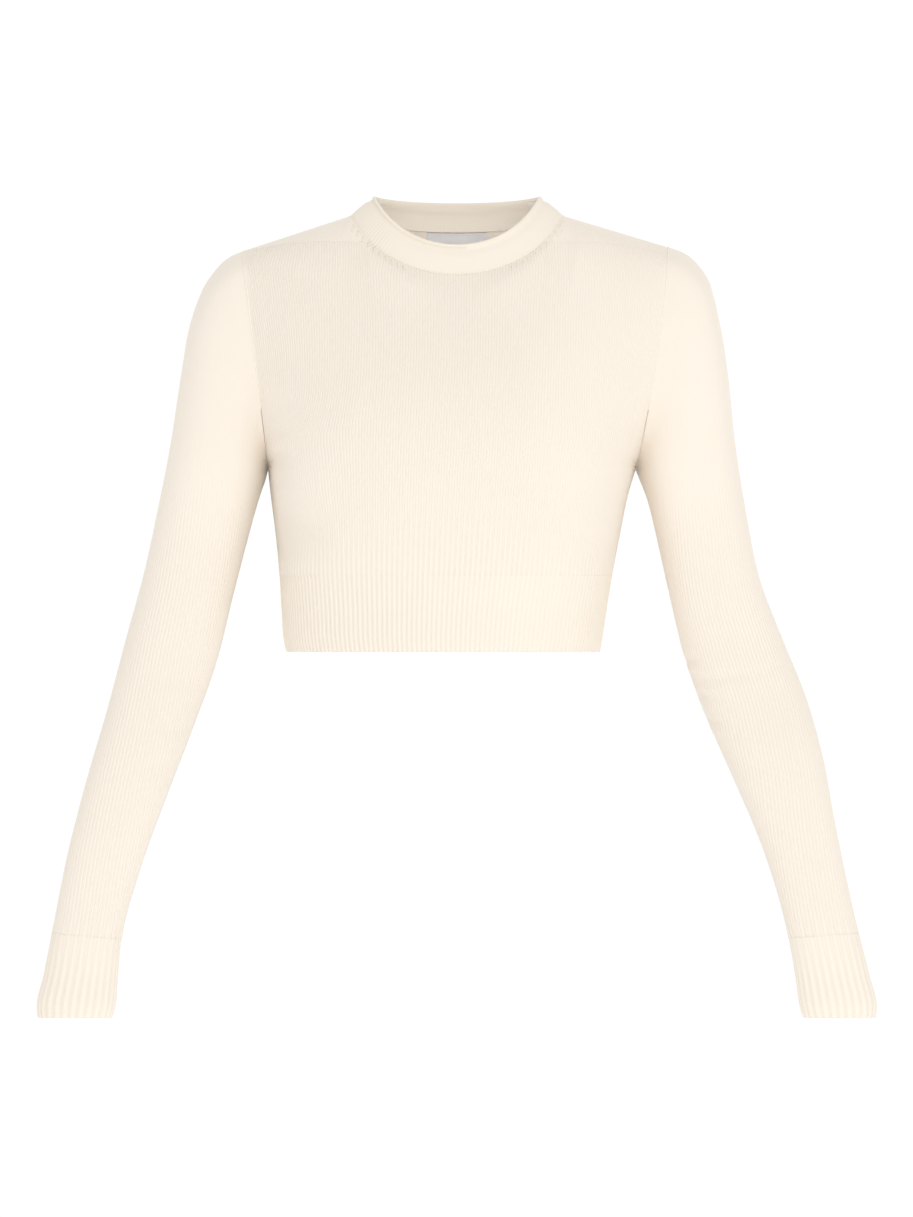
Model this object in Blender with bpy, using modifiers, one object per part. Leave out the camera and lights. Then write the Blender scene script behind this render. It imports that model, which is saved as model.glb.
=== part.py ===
"""A cropped top in fine knit with long sleeves, in the hollow form it has when worn.

The tables are in millimetres and the meshes in metres. +Z is up, the chest faces -Y and
+X is the wearer's left. The origin lies midway between the two places where the neckband
meets the top of the shoulders, which is where the wearer holds the top up.

The body is two smooth sheets, front and back, that meet along the top of the shoulders.
Each sheet passes through a few key sections. The back panel also takes the strip of the
front sheet between the shoulder line and the forward shoulder seam. A sleeve starts on
the armhole that the two sheets leave open.
"""
from collections import namedtuple
import math

import bmesh
import bpy
import numpy as np

MM = 0.001

# Cloth
PANEL_WALL = 1.5
RIB_WALL = 2.2
NECKBAND_WALL = 2.6
LABEL_WALL = 1.0
SEAM_GAP = 0.3

# Body below the arms: side seams and the fullest front and back of each level section.
LevelSection = namedtuple("LevelSection", "z right left front back")
BODY_LEVELS = (
    LevelSection(-290.0, -141.5, 124.0, -97.0, 86.0),
    LevelSection(-256.0, -145.0, 130.5, -110.0, 89.0),
    LevelSection(-224.0, -149.0, 137.0, -121.0, 94.0),
)
HEM_LEVELS = (
    LevelSection(-290.0, -141.5, 124.0, -97.0, 86.0),
    LevelSection(-318.0, -140.0, 119.5, -91.0, 83.0),
    LevelSection(-345.0, -137.6, 115.4, -88.0, 82.0),
    LevelSection(-351.0, -136.2, 114.2, -86.6, 80.8),
)
SIDE_SEAM_Y = 4.0
SIDE_TURN = 90.0
FULLNESS = 0.04          # how square a level section is, 0 for an ellipse

# Armholes: the underarm point, the point on the shoulder, and the depth each side of them.
Armhole = namedtuple("Armhole", "underarm shoulder front_depth back_depth bow")
ARMHOLES = {
    "right": Armhole((-151.0, 4.0, -205.0), (-171.0, 0.0, -30.5), 55.0, 58.0, 0.0),
    "left": Armhole((143.0, 4.0, -205.0), (169.0, 0.0, -27.5), 55.0, 58.0, 4.0),
}

# Sections that end on the armholes. armhole is the place on it, in degrees round from the
# underarm; turn is how far the cloth has turned sideways there; y and z are mid-panel.
ChestSection = namedtuple("ChestSection", "armhole turn y z")
FRONT_SECTIONS = (
    ChestSection(0.0, 90.0, -127.0, -196.0),
    ChestSection(42.0, 76.0, -126.0, -160.0),
    ChestSection(88.0, 60.0, -112.0, -119.0),
    ChestSection(130.0, 42.0, -91.0, -83.0),
)
BACK_SECTIONS = (
    ChestSection(0.0, 90.0, 98.0, -199.0),
    ChestSection(42.0, 76.0, 103.0, -158.0),
    ChestSection(88.0, 58.0, 104.0, -112.0),
    ChestSection(130.0, 38.0, 92.0, -65.0),
)

# Neck rings: where the neckband joins the panels, and its free edge.
Ring = namedtuple("Ring", "half_width front_y back_y front_z side_z back_z")
NECK_SEAM = Ring(85.0, -68.0, 58.0, -50.0, -2.4, -14.0)
NECK_EDGE = Ring(65.2, -60.0, 48.0, -26.2, 12.8, 8.6)
NECK_SQUARENESS = 0.05
NECK_SHARE = 0.5         # share of a panel's width that ends on the neckband
NECK_UPRIGHT = 0.6       # how far columns keep upright towards the neckband, 0 to spread evenly

# Last key row before the top edge: places on it from the middle of the panel outwards. It
# ends on the armholes, at the given degrees round from the underarm.
EdgePlace = namedtuple("EdgePlace", "share x y z")
FRONT_EDGE_PLACES = (
    EdgePlace(0.0, 0.0, -78.0, -63.0),
    EdgePlace(0.27, 52.0, -70.0, -47.0),
    EdgePlace(0.5, 95.0, -42.0, -20.0),
    EdgePlace(0.75, 133.0, -31.0, -25.0),
)
BACK_EDGE_PLACES = (
    EdgePlace(0.0, 0.0, 69.0, -31.0),
    EdgePlace(0.27, 52.0, 60.0, -24.0),
    EdgePlace(0.5, 93.0, 30.0, -10.0),
    EdgePlace(0.75, 132.0, 25.0, -21.5),
)
EDGE_ARMHOLE = 157.0

# Forward shoulder seam: how far it lies below the shoulder line, at the neck and the arm.
SEAM_DROP_AT_NECK = 21.5
SEAM_DROP_AT_ARM = {"right": 1.0, "left": 6.0}
SEAM_SWEEP = 1.5

# Neckband: height up the band and how far the face stands out, with a rolled top edge.
BandRow = namedtuple("BandRow", "height out")
NECKBAND_ROWS = (
    BandRow(0.0, 0.0),
    BandRow(0.3, 0.8),
    BandRow(0.65, 0.9),
    BandRow(0.83, 0.2),
    BandRow(0.88, 1.0),
    BandRow(0.95, 1.2),
    BandRow(1.0, 0.3),
)

# Sleeve sections: the points nearest to and farthest from the body, and the depth. They
# are ovals, except that those near the body keep part of the armhole's own shape.
SleeveSection = namedtuple("SleeveSection", "inner_x inner_z outer_x outer_z mid_y depth like_armhole")
SLEEVES = {
    "right": (
        SleeveSection(-151.4, -206.6, -182.0, -35.2, 2.0, 55.0, 0.96),
        SleeveSection(-152.0, -209.0, -198.5, -52.5, 1.5, 55.0, 0.85),
        SleeveSection(-153.0, -213.0, -212.8, -86.0, 1.0, 55.0, 0.6),
        SleeveSection(-155.2, -219.0, -220.5, -128.0, 1.0, 55.0, 0.3),
        SleeveSection(-160.0, -234.0, -228.4, -180.0, 2.0, 53.0, 0.1),
        SleeveSection(-168.5, -264.0, -240.0, -240.0, 6.0, 50.0, 0.0),
        SleeveSection(-179.0, -304.0, -250.0, -286.0, 9.0, 47.0, 0.0),
        SleeveSection(-193.0, -360.0, -265.0, -341.0, 10.0, 44.0, 0.0),
        SleeveSection(-212.0, -413.0, -279.5, -396.0, 4.0, 40.0, 0.0),
        SleeveSection(-233.0, -468.0, -296.0, -453.0, -6.0, 35.0, 0.0),
        SleeveSection(-253.5, -525.0, -311.5, -514.0, -15.0, 30.0, 0.0),
    ),
    "left": (
        SleeveSection(143.4, -206.6, 182.0, -32.0, 2.0, 55.0, 0.96),
        SleeveSection(144.2, -209.0, 198.4, -48.5, 1.5, 55.0, 0.85),
        SleeveSection(145.8, -213.0, 209.4, -84.0, 1.0, 55.0, 0.6),
        SleeveSection(148.4, -219.0, 216.5, -126.0, 1.0, 55.0, 0.3),
        SleeveSection(153.6, -234.0, 221.8, -178.0, 2.0, 53.0, 0.1),
        SleeveSection(160.5, -262.0, 231.0, -238.0, 6.0, 50.0, 0.0),
        SleeveSection(169.8, -303.0, 241.5, -290.0, 9.0, 47.0, 0.0),
        SleeveSection(181.0, -350.0, 259.0, -337.0, 12.0, 44.0, 0.0),
        SleeveSection(196.0, -394.0, 278.0, -384.0, 8.0, 41.0, 0.0),
        SleeveSection(219.0, -447.0, 292.0, -433.0, -4.0, 37.0, 0.0),
        SleeveSection(243.5, -505.0, 302.5, -490.0, -14.0, 31.0, 0.0),
    ),
}
CUFFS = {
    "right": (
        SleeveSection(-268.2, -580.3, -323.5, -575.5, -21.0, 26.0, 0.0),
        SleeveSection(-271.0, -610.0, -329.6, -607.5, -24.0, 25.5, 0.0),
        SleeveSection(-274.0, -638.5, -335.4, -637.5, -27.0, 26.0, 0.0),
        SleeveSection(-275.6, -643.0, -334.6, -643.0, -27.4, 24.8, 0.0),
    ),
    "left": (
        SleeveSection(265.0, -579.3, 320.8, -575.5, -21.0, 26.0, 0.0),
        SleeveSection(270.4, -610.0, 328.8, -607.5, -24.0, 25.5, 0.0),
        SleeveSection(275.0, -638.5, 335.0, -637.5, -27.0, 26.0, 0.0),
        SleeveSection(276.6, -643.0, 334.2, -643.0, -27.4, 24.8, 0.0),
    ),
}

# Neck label, hung just below the neckband seam on the inside of the back
LABEL_COLUMNS = 2        # columns of the back panel on each side of its middle
LABEL_TOP = 1.6
LABEL_HEIGHT = 22.0
LABEL_GAP = 0.7

# Mesh density. A narrow row or column beside a seam keeps both walls square to the cloth.
FRONT_NECK_COLUMNS = 6
BACK_NECK_COLUMNS = 8
YOKE_TIP = 0.006         # share by which the strip over the shoulder starts past the seam's end
LOWER_ROWS = 4
ARMHOLE_PARTS = (0.0, 0.1, 0.2, 0.3, 0.4, 0.5, 0.6, 0.7, 0.8, 0.9, 0.99, 1.0)
YOKE_PARTS = (0.0, 0.08, 0.54, 1.0)
SHOULDER_SHARES = (0.5, 0.62, 0.75, 0.87, 0.985, 1.0)
SLEEVE_PLACES = (0.0, 0.25, 1.0, 2.0, 2.6, 3.2, 4.0, 5.0, 6.0, 7.0, 7.5, 8.0, 8.5, 9.0, 10.0, 11.0, 12.0)
FINE = 161

MATERIALS = {
    "knit": ((0.91, 0.85, 0.75, 1.0), 0.85),
    "rib": ((0.90, 0.84, 0.74, 1.0), 0.88),
    "label": ((0.62, 0.58, 0.56, 1.0), 0.6),
}


def spread(points, shares):
    """Points along a curve at the given shares of its length, 0 at one end and 1 at the other."""
    steps = np.linalg.norm(np.diff(points, axis=0), axis=1)
    run = np.concatenate(([0.0], np.cumsum(steps))) / steps.sum()
    return np.stack([np.interp(shares, run, points[:, axis]) for axis in range(3)], axis=1)


def squared_sine(angle, squareness):
    return (np.sin(angle) + squareness * np.sin(3 * angle)) / (1 - squareness)


def ring_point(ring, angle):
    """Point of a neck ring; angle is 0 at the front and grows towards the wearer's left."""
    mean_y = (ring.front_y + ring.back_y) / 2
    reach_y = (ring.back_y - ring.front_y) / 2
    end_z = np.where(np.cos(angle) > 0, ring.front_z, ring.back_z)
    x = ring.half_width * squared_sine(angle, NECK_SQUARENESS)
    y = mean_y - reach_y * np.cos(angle)
    z = ring.side_z + (end_z - ring.side_z) * np.cos(angle) ** 2
    return np.stack([x, y, z], axis=-1)


def armhole_point(side, degrees):
    """Point of an armhole; degrees are 0 at the underarm, positive round the front."""
    hole = ARMHOLES[side]
    underarm, shoulder = np.array(hole.underarm), np.array(hole.shoulder)
    angle = math.radians(degrees)
    depth = hole.front_depth if degrees > 0 else hole.back_depth
    middle, reach = (underarm + shoulder) / 2, (shoulder - underarm) / 2
    forward = depth * squared_sine(angle, FULLNESS)
    outward = hole.bow * math.sin(angle) ** 2
    return middle - math.cos(angle) * reach + np.array((outward, -forward, 0.0))


def section(right, left, mid_y, mid_z, turn, shares):
    """Points across a panel from its right edge to its left edge, even along the cloth."""
    full = math.radians(turn)
    angle = np.linspace(-full, full, FINE)
    across = squared_sine(angle, FULLNESS) / squared_sine(full, FULLNESS)
    crown = np.cos(angle) - FULLNESS * np.cos(3 * angle)
    rise = (crown - crown[0]) / (crown[FINE // 2] - crown[0])
    toward_left = (across + 1) / 2
    x = right[0] + (left[0] - right[0]) * toward_left
    edge_y = right[1] + (left[1] - right[1]) * toward_left
    edge_z = right[2] + (left[2] - right[2]) * toward_left
    y = edge_y + (mid_y - edge_y) * rise
    z = mid_z + (edge_z - mid_z) * across ** 2
    return spread(np.stack([x, y, z], axis=1), (shares + 1) / 2)


def level_section(level, face, shares):
    right = (level.right, SIDE_SEAM_Y, level.z)
    left = (level.left, SIDE_SEAM_Y, level.z)
    return section(right, left, getattr(level, face), level.z, SIDE_TURN, shares)


def neck_angles(face, shares):
    """Angle on the neck ring for each share of a panel's width that ends there."""
    start = 0.0 if face == "front" else math.pi
    angle = np.linspace(start, math.pi / 2, FINE)
    arc = ring_point(NECK_SEAM, angle)
    steps = np.linalg.norm(np.diff(arc, axis=0), axis=1)
    evenly = np.concatenate(([0.0], np.cumsum(steps))) / steps.sum()
    run = evenly + (np.abs(arc[:, 0]) / NECK_SEAM.half_width - evenly) * NECK_UPRIGHT
    found = np.interp(np.minimum(np.abs(shares) / NECK_SHARE, 1.0), run, angle)
    return np.sign(shares + 1e-9) * found


def shoulder_line(side, along):
    """Points of the shoulder line; along is 0 at the neckband and 1 at the armhole."""
    sign = 1 if side == "left" else -1
    start = ring_point(NECK_SEAM, np.array(sign * math.pi / 2))
    return start + np.outer(along, np.array(ARMHOLES[side].shoulder) - start)


def shoulder_part(shares):
    """How far along the shoulder line columns end, 0 at the neckband and 1 at the armhole."""
    return np.maximum(0.0, (np.abs(shares) - NECK_SHARE) / (1 - NECK_SHARE))


def top_row(face, shares):
    """Top edge of a sheet: the shoulder line, the neck ring and the other shoulder line."""
    row = ring_point(NECK_SEAM, neck_angles(face, shares))
    for side, sign in (("right", -1), ("left", 1)):
        beyond = shares * sign > NECK_SHARE
        row[beyond] = shoulder_line(side, shoulder_part(shares[beyond]))
    return row


def edge_row(face, shares):
    """Key row just short of the top edge, smooth from armhole to armhole."""
    sign = 1 if face == "front" else -1
    places = FRONT_EDGE_PLACES if face == "front" else BACK_EDGE_PLACES
    half = np.array([place[1:] for place in places])
    right, left = (armhole_point(side, sign * EDGE_ARMHOLE) for side in ("right", "left"))
    points = np.concatenate(([right], half[:0:-1] * (-1, 1, 1), half, [left]))
    knots = both_sides([place.share for place in places] + [1.0])
    slopes = np.gradient(points, knots, axis=0)
    return smooth_through(knots, points[:, None], slopes[:, None], shares, np.zeros(len(shares), int))


def smooth_through(knots, points, slopes, at, column):
    """Points of smooth curves, one for each column, at places between the first knot and the last."""
    at = np.clip(at, knots[0], knots[-1])
    span = np.clip(np.searchsorted(knots, at, side="right") - 1, 0, len(knots) - 2)
    length = np.diff(knots)[span]
    part = ((at - knots[span]) / length)[..., None]
    start, end = points[span, column], points[span + 1, column]
    start_slope = slopes[span, column] * length[..., None]
    end_slope = slopes[span + 1, column] * length[..., None]
    square, cube = part ** 2, part ** 3
    return (
        start * (2 * cube - 3 * square + 1)
        + start_slope * (cube - 2 * square + part)
        + end * (3 * square - 2 * cube)
        + end_slope * (cube - square)
    )


def end_slopes(face, rows, knots, shares):
    """Level over the shoulders, and straight on where the sheet meets the neckband."""
    straight = (rows[-1] - rows[-2]) / (knots[-1] - knots[-2])
    level = np.array((0.0, 1.0 if face == "front" else -1.0, 0.0))
    over = level * np.linalg.norm(straight, axis=1)[:, None]
    ease = np.clip((np.abs(shares) / NECK_SHARE - 0.6) / 0.4, 0.0, 1.0)[:, None]
    ease = ease * ease * (3 - 2 * ease)
    return straight * (1 - ease) + over * ease


class Sheet:
    """A smooth surface through key rows, with one column for each share of the width."""

    def __init__(self, rows, shares=None, face=None):
        self.rows = np.array(rows)
        gaps = np.linalg.norm(np.diff(self.rows, axis=0), axis=2).mean(axis=1)
        self.knots = np.concatenate(([0.0], np.cumsum(gaps)))
        self.slopes = np.gradient(self.rows, self.knots, axis=0)
        if face:
            self.slopes[-1] = end_slopes(face, self.rows, self.knots, shares)

    def at(self, run):
        """Points at a run for each row and column, as an array of rows by columns."""
        column = np.broadcast_to(np.arange(self.rows.shape[1]), run.shape)
        return smooth_through(self.knots, self.rows, self.slopes, run, column)


def body_sheet(face, shares):
    sections = FRONT_SECTIONS if face == "front" else BACK_SECTIONS
    sign = 1 if face == "front" else -1
    rows = [level_section(level, face, shares) for level in BODY_LEVELS]
    for place in sections:
        right = armhole_point("right", sign * place.armhole)
        left = armhole_point("left", sign * place.armhole)
        rows.append(section(right, left, place.y, place.z, place.turn, shares))
    rows.append(edge_row(face, shares))
    rows.append(top_row(face, shares))
    return Sheet(rows, shares, face)


UNDERARM_KNOT = len(BODY_LEVELS)


def yoke_seam_share():
    """Share of the width at which the forward shoulder seam meets the neckband."""
    shares = np.linspace(0.0, NECK_SHARE, FINE)
    heights = ring_point(NECK_SEAM, neck_angles("front", shares))[:, 2]
    return float(np.interp(heights[-1] - SEAM_DROP_AT_NECK, heights, shares))


def seam_runs(sheet, shares, seam_share):
    """Run up the front sheet at which each column meets the neckband or the forward seam."""
    runs = np.full(len(shares), sheet.knots[-1])
    trial = np.linspace(sheet.knots[-3], sheet.knots[-1], FINE)
    heights = sheet.at(np.tile(trial[:, None], (1, len(shares))))[..., 2]
    for column, share in enumerate(shares):
        if abs(share) <= seam_share:
            continue
        side = "left" if share > 0 else "right"
        along = shoulder_part(share)
        at_arm = SEAM_DROP_AT_ARM[side]
        drop = at_arm + (SEAM_DROP_AT_NECK - at_arm) * (1 - along) ** SEAM_SWEEP
        shoulder = shoulder_line(side, np.array([along]))[0, 2]
        runs[column] = np.interp(shoulder - drop, heights[:, column], trial)
    return runs


def both_sides(half):
    """Shares across the whole panel from those of its left half, which start at 0."""
    half = np.array(half)
    return np.concatenate((-half[:0:-1], half))


SEAM_SHARE = yoke_seam_share()
FRONT_NECK_SHARES = tuple(np.linspace(0.0, SEAM_SHARE, FRONT_NECK_COLUMNS + 1))
BACK_NECK_SHARES = tuple(np.linspace(0.0, NECK_SHARE, BACK_NECK_COLUMNS + 1))
YOKE_SHARES = (SEAM_SHARE + YOKE_TIP, (SEAM_SHARE + NECK_SHARE) / 2) + SHOULDER_SHARES
FRONT_SHARES = both_sides(FRONT_NECK_SHARES + YOKE_SHARES[1:])
BACK_SHARES = both_sides(BACK_NECK_SHARES + SHOULDER_SHARES[1:])


def new_surface(name, grids, closed=False):
    """Mesh of one or more grids of points, joined where they share points."""
    work = bmesh.new()
    for grid in grids:
        rows, columns = grid.shape[:2]
        verts = [[work.verts.new(point * MM) for point in row] for row in grid]
        last = columns if closed else columns - 1
        for row in range(rows - 1):
            for column in range(last):
                after = (column + 1) % columns
                work.faces.new(
                    (verts[row][column], verts[row][after], verts[row + 1][after], verts[row + 1][column])
                )
    bmesh.ops.remove_doubles(work, verts=work.verts, dist=0.00001)
    draw_in_borders(work, SEAM_GAP / 2 * MM)
    mesh = bpy.data.meshes.new(name)
    work.to_mesh(mesh)
    work.free()
    return mesh


def draw_in_borders(work, distance):
    """Moves every border inward along the cloth, so that sewn pieces keep a gap."""
    work.normal_update()
    inward = {}
    for edge in work.edges:
        if not edge.is_boundary:
            continue
        face = edge.link_faces[0]
        along = (edge.verts[1].co - edge.verts[0].co).normalized()
        across = along.cross(face.normal).normalized()
        middle = (edge.verts[0].co + edge.verts[1].co) / 2
        if across.dot(face.calc_center_median() - middle) < 0:
            across.negate()
        for vert in edge.verts:
            inward.setdefault(vert, []).append(across)
    for vert, (first, second) in inward.items():
        vert.co += (first + second) * (distance / (1 + first.dot(second)))


def add_piece(name, mesh, wall, material):
    """A sewn piece: its outer surface, given a wall towards the inside."""
    mesh.materials.append(material)
    mesh.shade_smooth()
    piece = bpy.data.objects.new(name, mesh)
    thickness = piece.modifiers.new("Wall", "SOLIDIFY")
    thickness.thickness = wall * MM
    thickness.offset = -1.0
    thickness.use_even_offset = True
    COLLECTION.objects.link(piece)
    return piece


def body_runs(sheet, tops):
    """Runs of the rows from the hem rib to the top edge, for each column."""
    underarm = sheet.knots[UNDERARM_KNOT]
    lower = np.linspace(0.0, underarm, LOWER_ROWS + 1)[:-1]
    below = np.tile(lower[:, None], (1, len(tops)))
    above = underarm + np.outer(ARMHOLE_PARTS, tops - underarm)
    return np.concatenate((below, above))


def front_grid():
    sheet = body_sheet("front", FRONT_SHARES)
    return sheet.at(body_runs(sheet, seam_runs(sheet, FRONT_SHARES, SEAM_SHARE)))


def back_grid():
    sheet = body_sheet("back", BACK_SHARES)
    return sheet.at(body_runs(sheet, np.full(len(BACK_SHARES), sheet.knots[-1])))


def yoke_grid(side):
    """Strip over one shoulder, from the forward seam up to the shoulder line."""
    shares = np.array(YOKE_SHARES) * (1 if side == "left" else -1)
    sheet = body_sheet("front", shares)
    start = seam_runs(sheet, shares, SEAM_SHARE)
    return sheet.at(start + np.outer(YOKE_PARTS, sheet.knots[-1] - start))


def armhole_edge(front, back, yoke, side):
    """Ring of points round an armhole, from the underarm up the front, and how the cloth leads there."""
    edge, beside = (-1, -2) if side == "left" else (0, 1)
    rings = []
    for panel_column, yoke_column in ((edge, -1), (beside, -2)):
        up_front = front[LOWER_ROWS:, panel_column]
        over = yoke[1:, yoke_column]
        down_back = back[LOWER_ROWS:, panel_column][::-1]
        rings.append(np.concatenate((up_front, over, down_back[1:-1])))
    ring, inside = rings
    lead = ring - inside
    return ring, lead / np.linalg.norm(lead, axis=1)[:, None]


def ring_turns(ring, shoulder):
    """Angles for the ring's points: 0 at the underarm, pi at the shoulder, 2 pi at its end."""
    closed = np.concatenate((ring, ring[:1]))
    run = np.concatenate(([0.0], np.cumsum(np.linalg.norm(np.diff(closed, axis=0), axis=1))))
    return np.interp(run[:-1], (0.0, run[shoulder], run[-1]), (0.0, math.pi, 2 * math.pi))


def sleeve_oval(place, turns):
    """Plain oval of one sleeve section."""
    inner = np.array((place.inner_x, place.mid_y, place.inner_z))
    outer = np.array((place.outer_x, place.mid_y, place.outer_z))
    middle, reach = (inner + outer) / 2, (outer - inner) / 2
    forward = np.outer(np.sin(turns), (0.0, place.depth, 0.0))
    return middle - np.outer(np.cos(turns), reach) - forward


def sleeve_rows(ring, turns, side):
    """Key rows of a sleeve and its cuff, the armhole first."""
    hole = ARMHOLES[side]
    (inner_x, inner_y, inner_z), (outer_x, outer_y, outer_z) = hole.underarm, hole.shoulder
    mid_y = (inner_y + outer_y) / 2
    plain = SleeveSection(inner_x, inner_z, outer_x, outer_z, mid_y, hole.front_depth, 1.0)
    own_shape = ring - sleeve_oval(plain, turns)
    places = SLEEVES[side] + CUFFS[side]
    return [ring] + [sleeve_oval(place, turns) + own_shape * place.like_armhole for place in places]


def sleeve_head_slopes(sheet, lead, turns):
    """The sleeve runs straight on from the body over the shoulder, and turns down at the underarm."""
    natural = sheet.slopes[0]
    onward = lead * np.linalg.norm(natural, axis=1)[:, None]
    ease = np.clip((-0.15 - np.cos(turns)) / 0.7, 0.0, 1.0)[:, None]
    ease = ease * ease * (3 - 2 * ease)
    return natural * (1 - ease) + onward * ease


def sleeve_grids(ring, lead, shoulder, side):
    """The sleeve from the armhole to the cuff, and the cuff."""
    turns = ring_turns(ring, shoulder)
    rows = sleeve_rows(ring, turns, side)
    sheet = Sheet(rows)
    sheet.slopes[0] = sleeve_head_slopes(sheet, lead, turns)
    stations = np.interp(SLEEVE_PLACES, range(len(rows)), sheet.knots)
    sleeve = sheet.at(np.tile(stations[:, None], (1, len(turns))))
    cuff_start = len(SLEEVES[side]) + 1
    cuff = sheet.at(np.tile(sheet.knots[cuff_start:, None], (1, len(turns))))
    return sleeve, cuff


def neckband_grid():
    """Rows of the neckband, from the seam up to its rolled edge."""
    front = neck_angles("front", both_sides(FRONT_NECK_SHARES + YOKE_SHARES[:3]))
    back = neck_angles("back", both_sides(BACK_NECK_SHARES[:-1]))
    behind = np.sort(np.where(back > 0, back, back + 2 * math.pi))
    angles = np.concatenate((front, behind))
    seam, edge = ring_point(NECK_SEAM, angles), ring_point(NECK_EDGE, angles)
    along = np.roll(seam, -1, axis=0) - np.roll(seam, 1, axis=0)
    out = np.cross(along, edge - seam)
    out /= np.linalg.norm(out, axis=1)[:, None]
    return np.array([seam + (edge - seam) * row.height + out * row.out for row in NECKBAND_ROWS])


def label_grid():
    """Face of the label that lies against the inside of the back."""
    shares = both_sides(BACK_NECK_SHARES[:LABEL_COLUMNS + 1])
    sheet = body_sheet("back", shares)
    top = sheet.knots[-1] - LABEL_TOP
    runs = np.linspace(top - LABEL_HEIGHT, top, 4)
    face = sheet.at(np.tile(runs[:, None], (1, len(shares))))
    up = np.gradient(face, axis=0)
    across = np.gradient(face, axis=1)
    inward = np.cross(across, up)
    inward /= np.linalg.norm(inward, axis=2)[..., None]
    return face + inward * (PANEL_WALL + LABEL_GAP)


def hem_grid(face, shares):
    return np.array([level_section(level, face, shares) for level in HEM_LEVELS[::-1]])


def new_material(name):
    colour, roughness = MATERIALS[name]
    material = bpy.data.materials.new(name)
    material.use_nodes = True
    shader = material.node_tree.nodes["Principled BSDF"]
    shader.inputs["Base Color"].default_value = colour
    shader.inputs["Roughness"].default_value = roughness
    shader.inputs["Metallic"].default_value = 0.0
    return material


def mirror_columns(grid):
    """The same grid seen from its other side."""
    return grid[:, ::-1]


def build():
    front, back = front_grid(), back_grid()
    yokes = {side: yoke_grid(side) for side in ("right", "left")}
    knit = {name: new_material(name) for name in MATERIALS}

    add_piece("front", new_surface("front", [front]), PANEL_WALL, knit["knit"])
    back_grids = [mirror_columns(back), yokes["left"], mirror_columns(yokes["right"])]
    add_piece("back", new_surface("back", back_grids), PANEL_WALL, knit["knit"])
    for side, yoke in yokes.items():
        ring, lead = armhole_edge(front, back, yoke, side)
        shoulder = len(ARMHOLE_PARTS) + len(YOKE_PARTS) - 2
        sleeve, cuff = sleeve_grids(ring, lead, shoulder, side)
        if side == "left":
            sleeve, cuff = mirror_columns(sleeve), mirror_columns(cuff)
        add_piece(side + "_sleeve", new_surface(side + "_sleeve", [sleeve], True), PANEL_WALL, knit["knit"])
        add_piece(side + "_cuff", new_surface(side + "_cuff", [cuff], True), RIB_WALL, knit["rib"])
    add_piece("neckband", new_surface("neckband", [neckband_grid()], True), NECKBAND_WALL, knit["rib"])
    front_hem = new_surface("front_hem_rib", [hem_grid("front", FRONT_SHARES)])
    add_piece("front_hem_rib", front_hem, RIB_WALL, knit["rib"])
    back_hem = new_surface("back_hem_rib", [mirror_columns(hem_grid("back", BACK_SHARES))])
    add_piece("back_hem_rib", back_hem, RIB_WALL, knit["rib"])
    label = new_surface("neck_label", [mirror_columns(label_grid())])
    add_piece("neck_label", label, LABEL_WALL, knit["label"])


for existing in list(bpy.data.objects):
    bpy.data.objects.remove(existing, do_unlink=True)
COLLECTION = bpy.data.collections.new("cropped_knit_top")
bpy.context.scene.collection.children.link(COLLECTION)
build()
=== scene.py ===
"""Looks of a cropped fine-knit top with long sleeves, worn form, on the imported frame.

Lengths in the tables are millimetres, as in the part's own source, and meshes are metres.
+Z is up, the chest faces -Y and +X is the wearer's left. The form is made the same way as that of
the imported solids, from smooth sheets, sleeves and rings, and its panels are then eased a little.
Here it is cut along the wales of the knitting, which then get their relief.
"""
import math
from collections import namedtuple
from functools import partial

import bmesh
import bpy
import numpy as np
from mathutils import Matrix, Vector


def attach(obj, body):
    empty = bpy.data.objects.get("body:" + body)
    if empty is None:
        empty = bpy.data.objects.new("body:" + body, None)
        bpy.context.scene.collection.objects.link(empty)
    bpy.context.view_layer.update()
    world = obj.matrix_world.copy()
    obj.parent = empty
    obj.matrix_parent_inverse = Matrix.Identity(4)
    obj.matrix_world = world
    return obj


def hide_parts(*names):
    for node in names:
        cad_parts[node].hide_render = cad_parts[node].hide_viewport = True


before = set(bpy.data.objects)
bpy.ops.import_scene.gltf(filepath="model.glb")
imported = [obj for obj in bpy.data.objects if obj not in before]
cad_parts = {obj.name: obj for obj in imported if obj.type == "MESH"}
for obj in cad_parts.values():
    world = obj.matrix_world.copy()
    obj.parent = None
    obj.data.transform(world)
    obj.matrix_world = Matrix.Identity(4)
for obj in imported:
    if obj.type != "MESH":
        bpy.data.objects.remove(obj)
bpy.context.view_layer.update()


def table(kind, *rows):
    """A table of numbers with the named columns of its kind."""
    return tuple(kind(*map(float, row)) for row in rows)


MM = 0.001
TINY, TRIFLE = 1e-12, 1e-9
MERGE_DISTANCE = 0.00001
SEAM_GAP = 0.06          # closer than the solids' own gap, so that a seam lets no light through

# Signs of the two faces and the two sides
FACES = {"front": 1, "back": -1}
SIDES = {"right": -1, "left": 1}

# Body below the arms: side seams and the fullest front and back of each level section
Level = namedtuple("Level", "z right left front back")
BODY_LEVELS = table(
    Level,
    (-290, -141.5, 124, -97, 86),
    (-256, -145, 130.5, -110, 89),
    (-224, -149, 137, -121, 94),
)
HEM_LEVELS = BODY_LEVELS[:1] + table(
    Level,
    (-318, -140, 119.5, -91, 83),
    (-345, -137.6, 115.4, -88, 82),
    (-351, -136.2, 114.2, -86.6, 80.8),
)
SIDE_SEAM_Y = 4.0
SIDE_TURN = 90.0
FULLNESS = 0.04          # how square a level section is, 0 for an ellipse
SLEEVE_SQUARENESS = 0.045

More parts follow.
